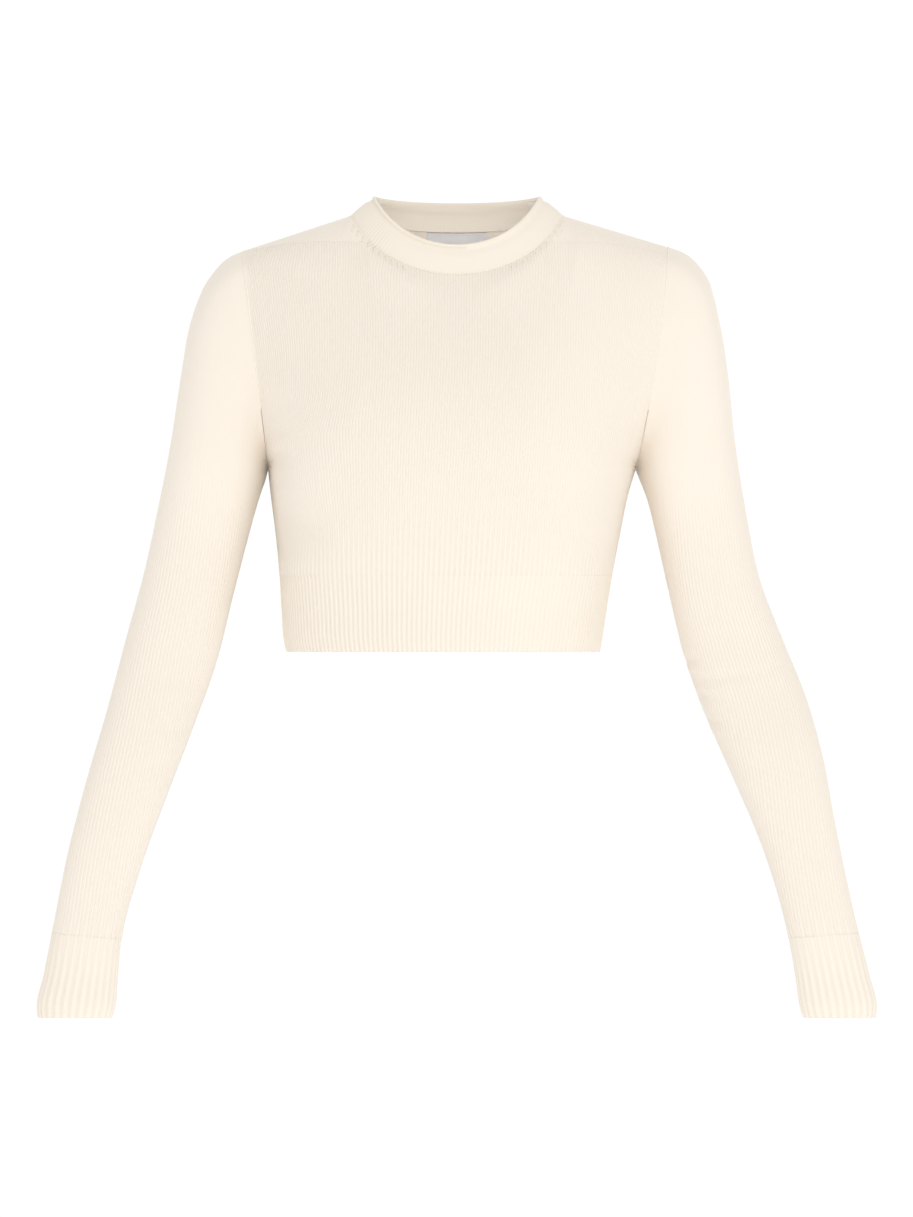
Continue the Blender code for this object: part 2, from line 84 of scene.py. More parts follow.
# Armholes: the underarm point, the point on the shoulder, and the depth each side of them
Armhole = namedtuple("Armhole", "underarm shoulder front_depth back_depth bow")
ARMHOLES = {
    "right": Armhole((-151.0, 4.0, -205.0), (-171.0, 0.0, -30.5), 55.0, 58.0, 0.0),
    "left": Armhole((143.0, 4.0, -205.0), (169.0, 0.0, -27.5), 55.0, 58.0, 4.0),
}
ARMHOLE_SET_OFF = 1.15
UNDERARM_KNOT = len(BODY_LEVELS)
STRAIGHT_SIDE_FROM = 0.75

# Sections that end on the armholes: the place on it in degrees, how far the cloth has turned
# sideways there, and where the middle of the panel lies
ChestSection = namedtuple("ChestSection", "armhole turn y z")
CHEST_SECTIONS = {
    "front": table(
        ChestSection,
        (0, 90, -127, -196),
        (42, 66, -126, -160),
        (88, 44, -112, -119),
        (130, 34, -91, -83),
    ),
    "back": table(
        ChestSection,
        (0, 90, 98, -199),
        (42, 76, 103, -158),
        (88, 58, 104, -112),
        (130, 38, 92, -65),
    ),
}

# Neck rings: where the neckband joins the panels, and its free edge
Ring = namedtuple("Ring", "half_width front_y back_y front_z side_z back_z")
NECK_SEAM = Ring(85.0, -68.0, 58.0, -50.0, -2.4, -14.0)
NECK_EDGE = Ring(65.2, -60.0, 48.0, -26.2, 12.8, 8.6)
NECK_SQUARENESS = 0.05
NECK_SHARE = 0.5         # share of a panel's width that ends on the neckband
NECK_UPRIGHT = 0.6       # how far columns keep upright towards the neckband, 0 to spread evenly
NECK_LEVELS_OUT = (0.6, 1.0)
NECK_CORNER = 0.02

# Last key row before the top edge, from the middle of the panel outwards
EdgePlace = namedtuple("EdgePlace", "share x y z")
EDGE_PLACES = {
    "front": table(
        EdgePlace,
        (0, 0, -78, -63),
        (0.27, 52, -70, -47),
        (0.5, 95, -42, -20),
        (0.75, 133, -31, -25),
    ),
    "back": table(
        EdgePlace,
        (0, 0, 69, -31),
        (0.27, 52, 60, -24),
        (0.5, 93, 30, -10),
        (0.75, 132, 25, -21.5),
    ),
}
EDGE_ARMHOLE = 157.0

# Forward shoulder seam: how far it lies below the shoulder line, at the neck and the arm
SEAM_DROP_AT_NECK = 21.5
SEAM_DROP_AT_ARM = {"right": 1.0, "left": 6.0}
SEAM_SWEEP = 1.5

# Neckband: height up the band and how far the face stands out
BandRow = namedtuple("BandRow", "height out")
BAND_ROWS = table(BandRow, (0, 0), (0.3, 0.8), (0.65, 0.9), (0.83, 0.2), (0.88, 1), (0.95, 1.2), (1, 0.3))

# Sleeve and cuff sections: the points nearest to and farthest from the body, the depth, and how
# much of the armhole's own shape each still has
SleeveSection = namedtuple("SleeveSection", "inner_x inner_z outer_x outer_z mid_y depth like_armhole")
SLEEVES = {
    "right": table(
        SleeveSection,
        (-151.4, -206.6, -182, -35.2, 2, 55, 0.96),
        (-152, -209, -198.5, -52.5, 1.5, 55, 0.85),
        (-153, -213, -212.8, -86, 1, 55, 0.6),
        (-155.2, -219, -220.5, -128, 1, 55, 0.3),
        (-160, -234, -228.4, -180, 2, 53, 0.1),
        (-168.5, -264, -240, -240, 6, 50, 0),
        (-179, -304, -250, -286, 9, 47, 0),
        (-193, -360, -265, -341, 10, 44, 0),
        (-212, -413, -279.5, -396, 4, 40, 0),
        (-233, -468, -296, -453, -6, 35, 0),
        (-253.5, -525, -311.5, -514, -15, 30, 0),
    ),
    "left": table(
        SleeveSection,
        (143.4, -206.6, 182, -32, 2, 55, 0.96),
        (144.2, -209, 198.4, -48.5, 1.5, 55, 0.85),
        (145.8, -213, 209.4, -84, 1, 55, 0.6),
        (148.4, -219, 216.5, -126, 1, 55, 0.3),
        (153.6, -234, 221.8, -178, 2, 53, 0.1),
        (160.5, -262, 231, -238, 6, 50, 0),
        (169.8, -303, 241.5, -290, 9, 47, 0),
        (181, -350, 259, -337, 12, 44, 0),
        (196, -394, 278, -384, 8, 41, 0),
        (219, -447, 292, -433, -4, 37, 0),
        (243.5, -505, 302.5, -490, -14, 31, 0),
    ),
}
CUFFS = {
    "right": table(
        SleeveSection,
        (-268.2, -580.3, -323.5, -575.5, -21, 26, 0),
        (-271, -610, -329.6, -607.5, -24, 25.5, 0),
        (-274, -638.5, -335.4, -637.5, -27, 26, 0),
        (-275.6, -643, -334.6, -643, -27.4, 24.8, 0),
    ),
    "left": table(
        SleeveSection,
        (265, -579.3, 320.8, -575.5, -21, 26, 0),
        (270.4, -610, 328.8, -607.5, -24, 25.5, 0),
        (275, -638.5, 335, -637.5, -27, 26, 0),
        (276.6, -643, 334.2, -643, -27.4, 24.8, 0),
    ),
}
CAP_LEADS_ON = (0.15, 0.85)      # how high round the armhole a sleeve goes on as the body leads

# Label, hung just below the neckband seam on the inside of the back
LABEL_SHARE = 0.125
LABEL_TOP = 0.1
LABEL_HEIGHT = 22.0
LABEL_GAP = 0.3
LABEL_THREADS = 160
LABEL_ROWS, LABEL_COLUMNS = 15, 41

# How finely the form is worked out before it is cut along the wales
FINE = 161
NET_COLUMNS = 401
RING_COLUMNS = 481

# Ease of the worn cloth: how often it is smoothed, and how far in from its edges it starts
EASE_PASSES = 24
EASE_FROM_SIDE = (0.0, 26.0)
EASE_FROM_HEM = (4.0, 40.0)
EASE_FROM_TOP = (30.0, 60.0)

# Rows of the meshes: their spacing, and the narrow ones beside a seam
ROW_STEP = 5.5
RIB_ROW_STEP = 5.0
STRIP_ROWS, STRIP_CROWDING = 6, 1.5
SEAM_ROWS = np.array((0.7, 1.7))
Stretch = namedtuple("Stretch", "until step")
SLEEVE_ROW_STEPS = table(Stretch, (24, 4), (190, 8), (350, 3.2), (900, 7))
BAND_HEIGHTS = np.array((
    0.008, 0.05, 0.12, 0.2, 0.3, 0.42, 0.54, 0.65, 0.73,
    0.79, 0.82, 0.845, 0.86, 0.875, 0.9, 0.92, 0.945, 0.97, 1.0,
))
BAND_HEIGHT = 26.0

# The neckband's edge is rolled over. Its line lies so far up the band, and fades out to the left.
# Along the line the band is grooved and shade is painted, as along a seam
ROLL_LINE_AT = 22.4
ROLL_LINE_FADES = (5.0, 45.0)
ROLL_LINE_RETURNS = (-30.0, 0.0)

# Knitting: width of a wale and height of a course
WALE = {"chest": 2.2, "hem": 2.07, "arm": 2.75, "wrist": 3.0}
COURSE = 1.6
LINES_PER_WALE = 4
BAND_WALES = 164

# Wales bow outwards round the fuller parts of a panel. Over the cap of a sleeve they run on into
# the armhole, and below it they keep their width.
WaleBow = namedtuple("WaleBow", "around run shift width height")
WALE_BOWS = {
    "front": table(WaleBow, (-136, 84, 10, 36, 40), (140, 84, -7, 36, 40)),
    "back": table(WaleBow, (-120, 120, 4, 44, 50), (122, 116, -4, 44, 50)),
}
CAP_WALES = (30.0, 100.0)

# Plain knit turns to rib: how far by the edge, and over what distance from it
RIB_SHARPNESS = 1.6
RIB_AT_HEM = 0.75
RIB_FADES_OVER_MIDDLE = 88.0
RIB_FADES_OVER_SIDES = 20.0
RIB_ARCH = 98.0
HEM_RIB_GROWS_OVER = 22.0
RIB_AT_CUFF = 0.3
CUFF_RIB_FADES_OVER = 20.0
CUFF_RIB_GROWS_OVER = 38.0

# Where the knitting is softer its wales stand out less, in relief and in painted shade: to the left of
# the chest and of the hem rib, along a panel's sides, over the shoulders, round the neckband but for
# its right shoulder, on a sleeve at its cap and along its outer side, and on the cuffs
CHEST_SOFTENS, CHEST_SOFTENS_OVER = 0.4, (40.0, 110.0)
HEM_SOFTENS, HEM_SOFTENS_OVER = 0.6, (-60.0, 110.0)
SIDE_SOFTENS_OVER = (0.0, 4.0)
YOKE_CRISPNESS, YOKE_SOFTENS_OVER = 0.3, (0.0, 70.0)
BAND_CRISPNESS, BAND_CRISP_FROM = 0.15, (48.0, 62.0)
CAP_CRISPNESS, CAP_REACH = 0.05, (70.0, 190.0)
SLEEVE_OUTER_SOFTENS, SLEEVE_OUTER_WIDTH = 0.6, 28.0
CUFF_CRISPNESS = 0.8

# Relief of each knit: plain wales, ribs, the groove at a seam and its shade; and the cloth's wall
Relief = namedtuple("Relief", "wale rib groove groove_width shade wall")
RELIEFS = {
    "body": Relief(0.55, 0.85, 0.04, 1.0, 0.0, 1.5),
    "sleeve": Relief(0.75, 1.05, 0.04, 1.0, 0.0, 1.5),
    "hem": Relief(0.5, 0.85, 0.15, 1.0, 0.1, 2.2),
    "cuff": Relief(0.6, 0.95, 0.15, 1.0, 0.1, 2.2),
    "neckband": Relief(0.14, 0.0, 1.0, 0.8, 0.7, 2.6),
    "label": Relief(0.0, 0.0, 0.0, 1.0, 0.0, 1.0),
}

# How far off a seam is where there is none, and how much the one under the arm is drawn up
NO_SEAM = 50.0
UNDERARM_LIFT = 0.7

# Creases. around is measured across the piece: from the middle of a panel, or round a sleeve
# from the underarm over the front, at so many millimetres a degree. run is measured up a
# panel from the hem rib, or down a sleeve from the armhole.
AROUND = 0.65
FULL_TURN = 360 * AROUND
CREASE_TAPER = 0.42
CREASE_RIDGE, CREASE_RIDGE_AT = 0.5, 1.7
Crease = namedtuple("Crease", "start_around start_run end_around end_run bow width depth")
CREASES = {
    "front": table(
        Crease,
        (-198, 40, -84, 28, 0, 21, 3.2),
        (84, 66, 176, 80, -14, 10, 1.1),
        (-112, 52, 6, 44, -7, 20, 0.8),
        (20, 46, 126, 58, -6, 18, 0.7),
        (-186, 176, -168, 112, 3, 14, 0.35),
        (186, 172, 170, 118, -3, 13, 0.3),
    ),
    "back": table(
        Crease,
        (-176, 92, -88, 70, 6, 12, 1.2),
        (180, 98, 104, 68, -6, 13, 1.4),
        (-70, 58, 58, 50, -8, 18, 1.1),
        (-60, 30, 84, 24, 5, 14, 0.8),
        (-150, 176, -138, 116, 4, 8, 1.1),
        (150, 182, 140, 110, -4, 8, 1.2),
    ),
    "left": table(
        Crease,
        (8, 234, 96, 238, 4, 6, 0.35),
        (-8, 250, 40, 253, 0, 4, 1.4),
        (-4, 266, 92, 265, 4, 4, 1.2),
        (-4, 275, 46, 287, 1.5, 3, 1.1),
        (6, 280, 60, 296, 1, 3.2, 0.8),
        (-6, 300, 42, 309, 0, 4.2, 1.5),
        (4, 335, 76, 347, 3, 7, 0.45),
        (-16, 30, -52, 84, -4, 10, 0.8),
        (-12, 246, -84, 252, -3, 5.5, 0.6),
        (-10, 274, -92, 284, -3, 5, 0.8),
        (-14, 300, -66, 308, -2, 6, 0.6),
    ),
    "right": table(
        Crease,
        (112, 210, 66, 226, 2, 4, 0.4),
        (100, 222, 52, 238, -2, 4.4, 0.45),
        (6, 262, 74, 268, 4, 6, 0.4),
        (4, 300, 66, 306, 3, 6, 0.45),
        (8, 332, 58, 340, 3, 7, 0.4),
        (-14, 28, -50, 80, -4, 10, 0.8),
        (-10, 270, -72, 276, -3, 6, 0.5),
        (-12, 310, -64, 320, -3, 6.5, 0.55),
    ),
}

# Puckers where a sleeve meets its cuff, in even sectors round it, each at a chance spot of its own
GATHER_SEED = {"right": 4, "left": 9}
GATHER_COUNT = 26
GATHER_SPOT = (0.15, 0.85)
GATHER_LENGTH = (7.0, 17.0)
GATHER_DEPTH = (0.15, 0.55)
GATHER_LEAN = 1.5
GATHER_WIDTH = 1.7
GATHER_FOOT = 3.0

# Stitches: half loops of yarn that lie on the cloth, with few steps and sides because they are many
STITCH_STEPS, YARN_SIDES = 5, 6
Stitch = namedtuple("Stitch", "length rise thickness")
STITCHES = {
    "fashioning": Stitch(2.7, 1.2, 0.6),
    "neck": Stitch(3.0, 0.4, 0.7),
    "cuff": Stitch(2.3, 0.7, 0.36),
    "armhole": Stitch(4.0, 0.4, 1.3),
    "label": Stitch(1.8, 0.35, 0.16),
}
FashioningRow = namedtuple("FashioningRow", "from_neck lean")
FASHIONING_ROWS = table(FashioningRow, (4.2, 1.8), (6.6, 0.5), (9.2, 1.2))
FASHIONING_REACH = (0.22, 0.45)
FASHIONING_COUNT = 10
NECK_LINKING_COUNT = 196
ARMHOLE_LINKING_SPACING = 2.7
ARMHOLE_LINKING_FROM = 78.0
LINKING_STANDS_OUT = 0.1
LABEL_STITCH_STANDS_OUT = 0.02
JUST_BESIDE = np.array((-1.0, 0.0, 1.0))

# Finishes: linear colours of the yarn and of its painted shade and random darker tone; the depth of a
# stitch in metres
KNIT_FINISHES = {
    "cream_plain_knit": ((0.930, 0.867, 0.785), (0.83, 0.747, 0.645), 0.00035),
    "cream_rib_knit": ((0.935, 0.870, 0.780), (0.83, 0.745, 0.635), 0.00035),
    # a darker copy of the cream: shade painted on the fashioning marks for their small holes
    "cream_shaded_stitches": ((0.90, 0.825, 0.725), (0.78, 0.69, 0.575), 0.0002),
}
# Label: colour of the tape, the painted shade between its threads, and the depth of its weave in metres
LABEL_LIGHT, LABEL_WEAVE_SHADE, LABEL_WEAVE = (0.81, 0.81, 0.83), (0.71, 0.71, 0.74), 0.0001
LABEL_WAVES = (1.0, 1.6)         # of its weave, for each thread across it and each millimetre up
WOOL_ROUGHNESS, WOOL_SHEEN = 0.9, 0.22
TAPE_ROUGHNESS, TAPE_SHEEN = 0.55, 0.1
SPECULAR, SHEEN_ROUGHNESS, SHEEN_TINT = 0.2, 0.5, (1.0, 0.97, 0.92, 1.0)
BUMP = 0.4
Noise = namedtuple("Noise", "scale detail")
NAP = {"Fuzz": Noise(1400.0, 2.0), "Tone": Noise(9.0, 3.0)}

# A stitch has two legs that slant, and dips between loops. Shade is painted in the gaps between
# stitches, in part where these are soft, and in the hollows; the tone also changes by chance.
STITCH_SLANT = 1.6
LOOP_DIP = 0.15
GAP_PAINTED_SHADE, SOFT_GAP = 0.2, 0.45
HOLLOW_PAINTED_SHADE = 0.7
CHANCE_TONE = 0.3
FUZZ = 0.15

# Camera: how far off, what it looks at and the height it takes in, in metres
CAMERA_DISTANCE = 16.0
VIEW_CENTRE = (-0.0004, 0.0, -0.3164)
VIEW_HEIGHT = 0.9736
SENSOR = 36.0

# Studio, in metres and watts
Lamp = namedtuple("Lamp", "place target size power colour")
LAMPS = {
    "front": Lamp((0.7, -5.0, 0.9), VIEW_CENTRE, 2.4, 38.0, (1.0, 0.99, 0.97)),
    "key": Lamp((2.6, -2.6, 0.7), VIEW_CENTRE, 1.8, 6.0, (1.0, 0.985, 0.96)),
    "fill": Lamp((-2.6, -2.6, -0.5), VIEW_CENTRE, 2.0, 0.8, (1.0, 0.99, 0.98)),
    "behind": Lamp((0.4, 4.6, 1.2), VIEW_CENTRE, 2.4, 38.0, (1.0, 0.99, 0.97)),
    "neck": Lamp((0.0, -0.02, -0.1), (0.0, 0.052, -0.005), 0.06, 0.038, (0.94, 0.97, 1.0)),
}
WORLD_COLOUR, WORLD_LIGHT, WORLD_LIGHT_ABOVE = (1.0, 0.995, 0.985, 1.0), 0.93, 0.82
WHITE, BACKDROP = (1.0, 1.0, 1.0, 1.0), 1.03
FLOOR_HEIGHT, FLOOR_RADIUS, FLOOR_SEGMENTS = -1.35, 3.0, 96
FLOOR_TONE, FLOOR_ROUGHNESS, FLOOR_GLOW = (0.9, 0.9, 0.9, 1.0), 0.8, 0.25


# ---------------------------------------------------------------- lines and nets


def lengths(vectors):
    return np.linalg.norm(vectors, axis=-1)


def unit(vectors):
    return vectors / (lengths(vectors)[..., None] + TINY)


def run_along(line):
    """How far along a line each of its points lies."""
    return np.concatenate(([0.0], np.cumsum(lengths(np.diff(line, axis=0)))))


def read_off(line, run, at):
    """Points or directions of a line at given places of its run."""
    return np.stack([np.interp(at, run, column) for column in line.T], axis=1)


def in_rows(values, columns):
    """A net with one value all along each row."""
    return np.tile(values[:, None], (1, columns))


def both_sides(half):
    half = np.array(half)
    return np.concatenate((-half[:0:-1], half))


def eased(value):
    value = np.clip(value, 0.0, 1.0)
    return value * value * (3 - 2 * value)


def within(value, reach):
    """0 below the first of two lengths, 1 above the second, and smooth between them."""
    start, end = reach
    return eased((value - start) / (end - start))


def smooth_through(knots, points, slopes, at, column, arriving=None):
    """Points of smooth curves, one for each column, at places between the first knot and the last.

    arriving holds the slopes below each knot, where they aren't the same as those above it.
    """
    at = np.clip(at, knots[0], knots[-1])
    span = np.clip(np.searchsorted(knots, at, side="right") - 1, 0, len(knots) - 2)
    length = np.diff(knots)[span]
    part = ((at - knots[span]) / length)[..., None]
    start_slope = slopes[span, column] * length[..., None]
    end_slope = (slopes if arriving is None else arriving)[span + 1, column] * length[..., None]
    square, cube = part ** 2, part ** 3
    return (
        points[span, column] * (2 * cube - 3 * square + 1)
        + start_slope * (cube - 2 * square + part)
        + points[span + 1, column] * (3 * square - 2 * cube)
        + end_slope * (cube - square)
    )


def across(net, middle):
    """Distance of every point of a net from its middle column, square to the columns."""
    along = np.gradient(net, axis=0)
    lead = unit(along[:, 1:] + along[:, :-1])
    steps = np.diff(net, axis=1)
    sideways = steps - (steps * lead).sum(axis=2, keepdims=True) * lead
    run = np.cumsum(lengths(sideways), axis=1)
    run = np.concatenate((np.zeros((len(net), 1)), run), axis=1)
    return run - run[:, middle:middle + 1]


def net_normals(net, closed=False):
    """Unit normals of a net, on the side where its columns count to the right and its rows upwards."""
    sideways = np.gradient(net, axis=1)
    if closed:
        sideways[:, 0] = sideways[:, -1] = sideways[:, 0] + sideways[:, -1]
    return unit(np.cross(sideways, np.gradient(net, axis=0)))


# ---------------------------------------------------------------- the form of the top


def squared_sine(angle, squareness):
    return (np.sin(angle) + squareness * np.sin(3 * angle)) / (1 - squareness)


def squared_cosine(angle, squareness):
    return (np.cos(angle) - squareness * np.cos(3 * angle)) / (1 - squareness)


def ring_point(ring, angle):
    """Point of a neck ring; angle is 0 at the front and grows towards the wearer's left."""
    mean_y, reach_y = (ring.front_y + ring.back_y) / 2, (ring.back_y - ring.front_y) / 2
    end_z = np.where(np.cos(angle) > 0, ring.front_z, ring.back_z)
    x = ring.half_width * squared_sine(angle, NECK_SQUARENESS)
    z = ring.side_z + (end_z - ring.side_z) * np.cos(angle) ** 2
    return np.stack([x, mean_y - reach_y * np.cos(angle), z], axis=-1)


def armhole_point(side, degrees):
    """Point of an armhole; degrees are 0 at the underarm, positive round the front."""
    hole, angle = ARMHOLES[side], math.radians(degrees)
    underarm, shoulder = np.array(hole.underarm), np.array(hole.shoulder)
    depth = hole.front_depth if degrees > 0 else hole.back_depth
    off = np.array((hole.bow * math.sin(angle) ** 2, -depth * squared_sine(angle, FULLNESS), 0.0))
    return (underarm + shoulder) / 2 - math.cos(angle) * (shoulder - underarm) / 2 + off


def armhole_pair(face, degrees):
    return [armhole_point(side, FACES[face] * degrees) for side in SIDES]


def section(edges, mid_y, mid_z, turn, shares):
    """Points across a panel from its right edge to its left edge, even along the cloth."""
    right, left = np.array(edges)
    full = math.radians(turn)
    angle = np.linspace(-full, full, FINE)
    sideways = squared_sine(angle, FULLNESS) / squared_sine(full, FULLNESS)
    crown = squared_cosine(angle, FULLNESS)
    rise = (crown - crown[0]) / (crown[FINE // 2] - crown[0])
    x, y, z = (right + np.outer((sideways + 1) / 2, left - right)).T
    line = np.stack([x, y + (mid_y - y) * rise, mid_z + (z - mid_z) * sideways ** 2], axis=1)
    run = run_along(line)
    return read_off(line, run / run[-1], (shares + 1) / 2)


def level_section(level, face, shares):
    edges = [(x, SIDE_SEAM_Y, level.z) for x in (level.right, level.left)]
    return section(edges, getattr(level, face), level.z, SIDE_TURN, shares)


def neck_angles(face, shares):
    """Angle on the neck ring for each share of a panel's width that ends there."""
    angle = np.linspace(0.0 if face == "front" else math.pi, math.pi / 2, FINE)
    arc = ring_point(NECK_SEAM, angle)
    run = run_along(arc)
    evenly, upright = run / run[-1], np.abs(arc[:, 0]) / NECK_SEAM.half_width
    run = evenly + (upright - evenly) * NECK_UPRIGHT
    return np.sign(shares + TRIFLE) * np.interp(np.minimum(np.abs(shares) / NECK_SHARE, 1.0), run, angle)


def shoulder_line(side, along):
    """Points of the shoulder line; along is 0 at the neckband and 1 at the armhole."""
    start = ring_point(NECK_SEAM, np.array(SIDES[side] * math.pi / 2))
    return start + np.outer(along, np.array(ARMHOLES[side].shoulder) - start)


def shoulder_part(shares):
    return np.maximum(0.0, (np.abs(shares) - NECK_SHARE) / (1 - NECK_SHARE))


def top_row(face, shares):
    """Top edge of a sheet: the shoulder line, the neck ring and the other shoulder line."""
    row = ring_point(NECK_SEAM, neck_angles(face, shares))
    for side, sign in SIDES.items():
        beyond = shares * sign > NECK_SHARE
        row[beyond] = shoulder_line(side, shoulder_part(shares[beyond]))
    return row


def edge_row(face, shares):
    """Key row just short of the top edge, smooth from armhole to armhole."""
    half = np.array(EDGE_PLACES[face])
    right, left = armhole_pair(face, EDGE_ARMHOLE)
    points = np.concatenate(([right], half[:0:-1, 1:] * (-1, 1, 1), half[:, 1:], [left]))
    knots = both_sides([*half[:, 0], 1.0])
    slopes = np.gradient(points, knots, axis=0)
    return smooth_through(knots, points[:, None], slopes[:, None], shares, np.zeros(len(shares), int))


class Sheet:
    """A smooth surface through key rows, with one column for each share of the width."""

    def __init__(self, rows, shares=None, face=None):
        self.rows = np.array(rows)
        gaps = lengths(np.diff(self.rows, axis=0)).mean(axis=1)
        self.knots = np.concatenate(([0.0], np.cumsum(gaps)))
        self.slopes = np.gradient(self.rows, self.knots, axis=0)
        if face:
            self.slopes[-1] = self.end_slopes(shares, FACES[face])
        self.arriving = self.slopes.copy()
        if face:
            self.turn_at_underarm(shares, FACES[face])

    def lead(self, below, above):
        return (self.rows[above] - self.rows[below]) / (self.knots[above] - self.knots[below])

    def end_slopes(self, shares, sign):
        """Level over the shoulders, and straight on where the sheet meets the neckband."""
        straight = self.lead(-2, -1)
        over = np.outer(lengths(straight), (0.0, sign, 0.0))
        ease = within(np.abs(shares) / NECK_SHARE, NECK_LEVELS_OUT)[:, None]
        return straight * (1 - ease) + over * ease

    def turn_at_underarm(self, shares, sign):
        """Lets the side seam run straight up to the underarm, where the armhole sets off sideways."""
        at = UNDERARM_KNOT
        ease = within(np.abs(shares), (STRAIGHT_SIDE_FROM, 1.0))[:, None]
        self.arriving[at] += (self.lead(at - 1, at) - self.arriving[at]) * ease
        self.slopes[at] += (np.array((0.0, -sign * ARMHOLE_SET_OFF, 0.0)) - self.slopes[at]) * ease

    def at(self, run):
        """Points at a run for each row and column, as an array of rows by columns."""
        column = np.broadcast_to(np.arange(self.rows.shape[1]), run.shape)
        return smooth_through(self.knots, self.rows, self.slopes, run, column, self.arriving)

    def level_at(self, runs):
        """Points in rows that each keep to one run."""
        return self.at(in_rows(np.asarray(runs), self.rows.shape[1]))


def body_sheet(face, shares):
    rows = [level_section(level, face, shares) for level in BODY_LEVELS]
    for place in CHEST_SECTIONS[face]:
        rows.append(section(armhole_pair(face, place.armhole), place.y, place.z, place.turn, shares))
    return Sheet(rows + [edge_row(face, shares), top_row(face, shares)], shares, face)


def yoke_seam_share():
    """Share of the width at which the forward shoulder seam meets the neckband."""
    shares = np.linspace(0.0, NECK_SHARE, FINE)
    heights = ring_point(NECK_SEAM, neck_angles("front", shares))[:, 2]
    return float(np.interp(heights[-1] - SEAM_DROP_AT_NECK, heights, shares))


def seam_runs(sheet, shares, seam_share):
    """Run up the front sheet at which each column meets the neckband or the forward seam."""
    runs = np.full(len(shares), sheet.knots[-1])
    trial = np.linspace(sheet.knots[-3], sheet.knots[-1], FINE)
    heights = sheet.level_at(trial)[..., 2]
    for column in np.flatnonzero(np.abs(shares) > seam_share):
        side = "left" if shares[column] > 0 else "right"
        along, at_arm = shoulder_part(shares[column]), SEAM_DROP_AT_ARM[side]
        drop = at_arm + (SEAM_DROP_AT_NECK - at_arm) * (1 - along) ** SEAM_SWEEP
        shoulder = shoulder_line(side, [along])[0, 2]
        runs[column] = np.interp(shoulder - drop, heights[:, column], trial)
    return runs


def sleeve_oval(place, turns):
    """Ring of points round a sleeve; turns are 0 on its inner side and grow over the front."""
    inner = np.array((place.inner_x, place.mid_y, place.inner_z))
    outer = np.array((place.outer_x, place.mid_y, place.outer_z))
    squareness = SLEEVE_SQUARENESS * (1 - place.like_armhole)
    outward = np.outer(squared_cosine(turns, squareness), (outer - inner) / 2)
    forward = np.outer(squared_sine(turns, squareness), (0.0, place.depth, 0.0))
    return (inner + outer) / 2 - outward - forward


def sleeve_sheet(ring, lead, turns, side):
    """The sleeve and its cuff as one smooth surface that starts on the armhole."""
    hole = ARMHOLES[side]
    (inner_x, inner_y, inner_z), (outer_x, outer_y, outer_z) = hole.underarm, hole.shoulder
    mid_y = (inner_y + outer_y) / 2
    plain = SleeveSection(inner_x, inner_z, outer_x, outer_z, mid_y, hole.front_depth, 1.0)
    own_shape = ring - sleeve_oval(plain, turns)
    places = SLEEVES[side] + CUFFS[side]
    sheet = Sheet([ring] + [sleeve_oval(place, turns) + own_shape * place.like_armhole for place in places])
    natural = sheet.slopes[0].copy()
    ease = within(-np.cos(turns), CAP_LEADS_ON)[:, None]
    sheet.slopes[0] = natural * (1 - ease) + lead * lengths(natural)[:, None] * ease
    return sheet


# ---------------------------------------------------------------- cutting along the wales

# Cloth with its columns on the wales. around and runs are where a point lies on the piece, in
# millimetres, and side_gap is how far it is from the nearer side.
Cloth = namedtuple("Cloth", "points normals wales around runs side_gap")

# A grid ready to be a mesh, with the wale, course, rib and seam values of its points. crisp is how
# clearly the wales stand out, turned says that its faces are laid the other way round, and
# free_row is the row at the piece's open edge, if it has one.
Grid = namedtuple("Grid", "points wale course rib seam crisp turned free_row")


def cut_along_wales(net, normals, around, runs, distance, pitch, inset=SEAM_GAP / 2):
    """The same cloth with its columns on lines a quarter wale apart.

    A line that reaches a side ends on it, as wales do where a panel is narrowed.
    """
    pitch = np.broadcast_to(pitch, len(net))[:, None]
    low, high = (distance[:, :1] + inset) / pitch, (distance[:, -1:] - inset) / pitch
    first, last = math.floor(low.min() * LINES_PER_WALE), math.ceil(high.max() * LINES_PER_WALE)
    wales = np.clip(np.arange(first, last + 1)[None, :] / LINES_PER_WALE, low, high)
    columns = np.arange(net.shape[1])
    layers = np.concatenate((net, normals, around[..., None], runs[..., None]), axis=2)
    cut = np.empty(wales.shape + (layers.shape[2],))
    for row in range(len(net)):
        at = np.interp(wales[row] * pitch[row], distance[row], columns)
        before = np.minimum(at.astype(int), net.shape[1] - 2)
        part = (at - before)[:, None]
        cut[row] = layers[row, before] * (1 - part) + layers[row, before + 1] * part
    side_gap = np.minimum(wales - low, high - wales) * pitch
    return Cloth(cut[..., :3], cut[..., 3:6], wales, cut[..., 6], cut[..., 7], side_gap)


def bowed(distance, runs, bows):
    """Distance across a panel by its wales, which bow outwards in places."""
    shifted = distance.copy()
    for bow in bows:
        sideways, upward = (distance - bow.around) / bow.width, (runs - bow.run) / bow.height
        shifted += bow.shift * np.exp(-sideways ** 2 - upward ** 2)
    return shifted


def crease_heights(creases, around, runs, full_turn):
    """Height of creased cloth over its smooth form: a trough along each crease, and a ridge each side."""
    height = np.zeros(around.shape)
    for crease in creases:
        reach = np.array((crease.end_around - crease.start_around, crease.end_run - crease.start_run))
        length = lengths(reach)
        forward = reach / length
        sideways, upward = around - crease.start_around, runs - crease.start_run
        if full_turn:
            centre = reach[0] / 2
            sideways = (sideways - centre + full_turn / 2) % full_turn - full_turn / 2 + centre
        part = (sideways * forward[0] + upward * forward[1]) / length
        off = upward * forward[0] - sideways * forward[1]
        off = (off - crease.bow * 4 * part * (1 - part)) / crease.width
        taper = eased(np.minimum(part, 1 - part) / CREASE_TAPER)
        ridge = CREASE_RIDGE * np.exp(-(np.abs(off) - CREASE_RIDGE_AT) ** 2)
        height += crease.depth * taper * (ridge - np.exp(-off ** 2))
    return height


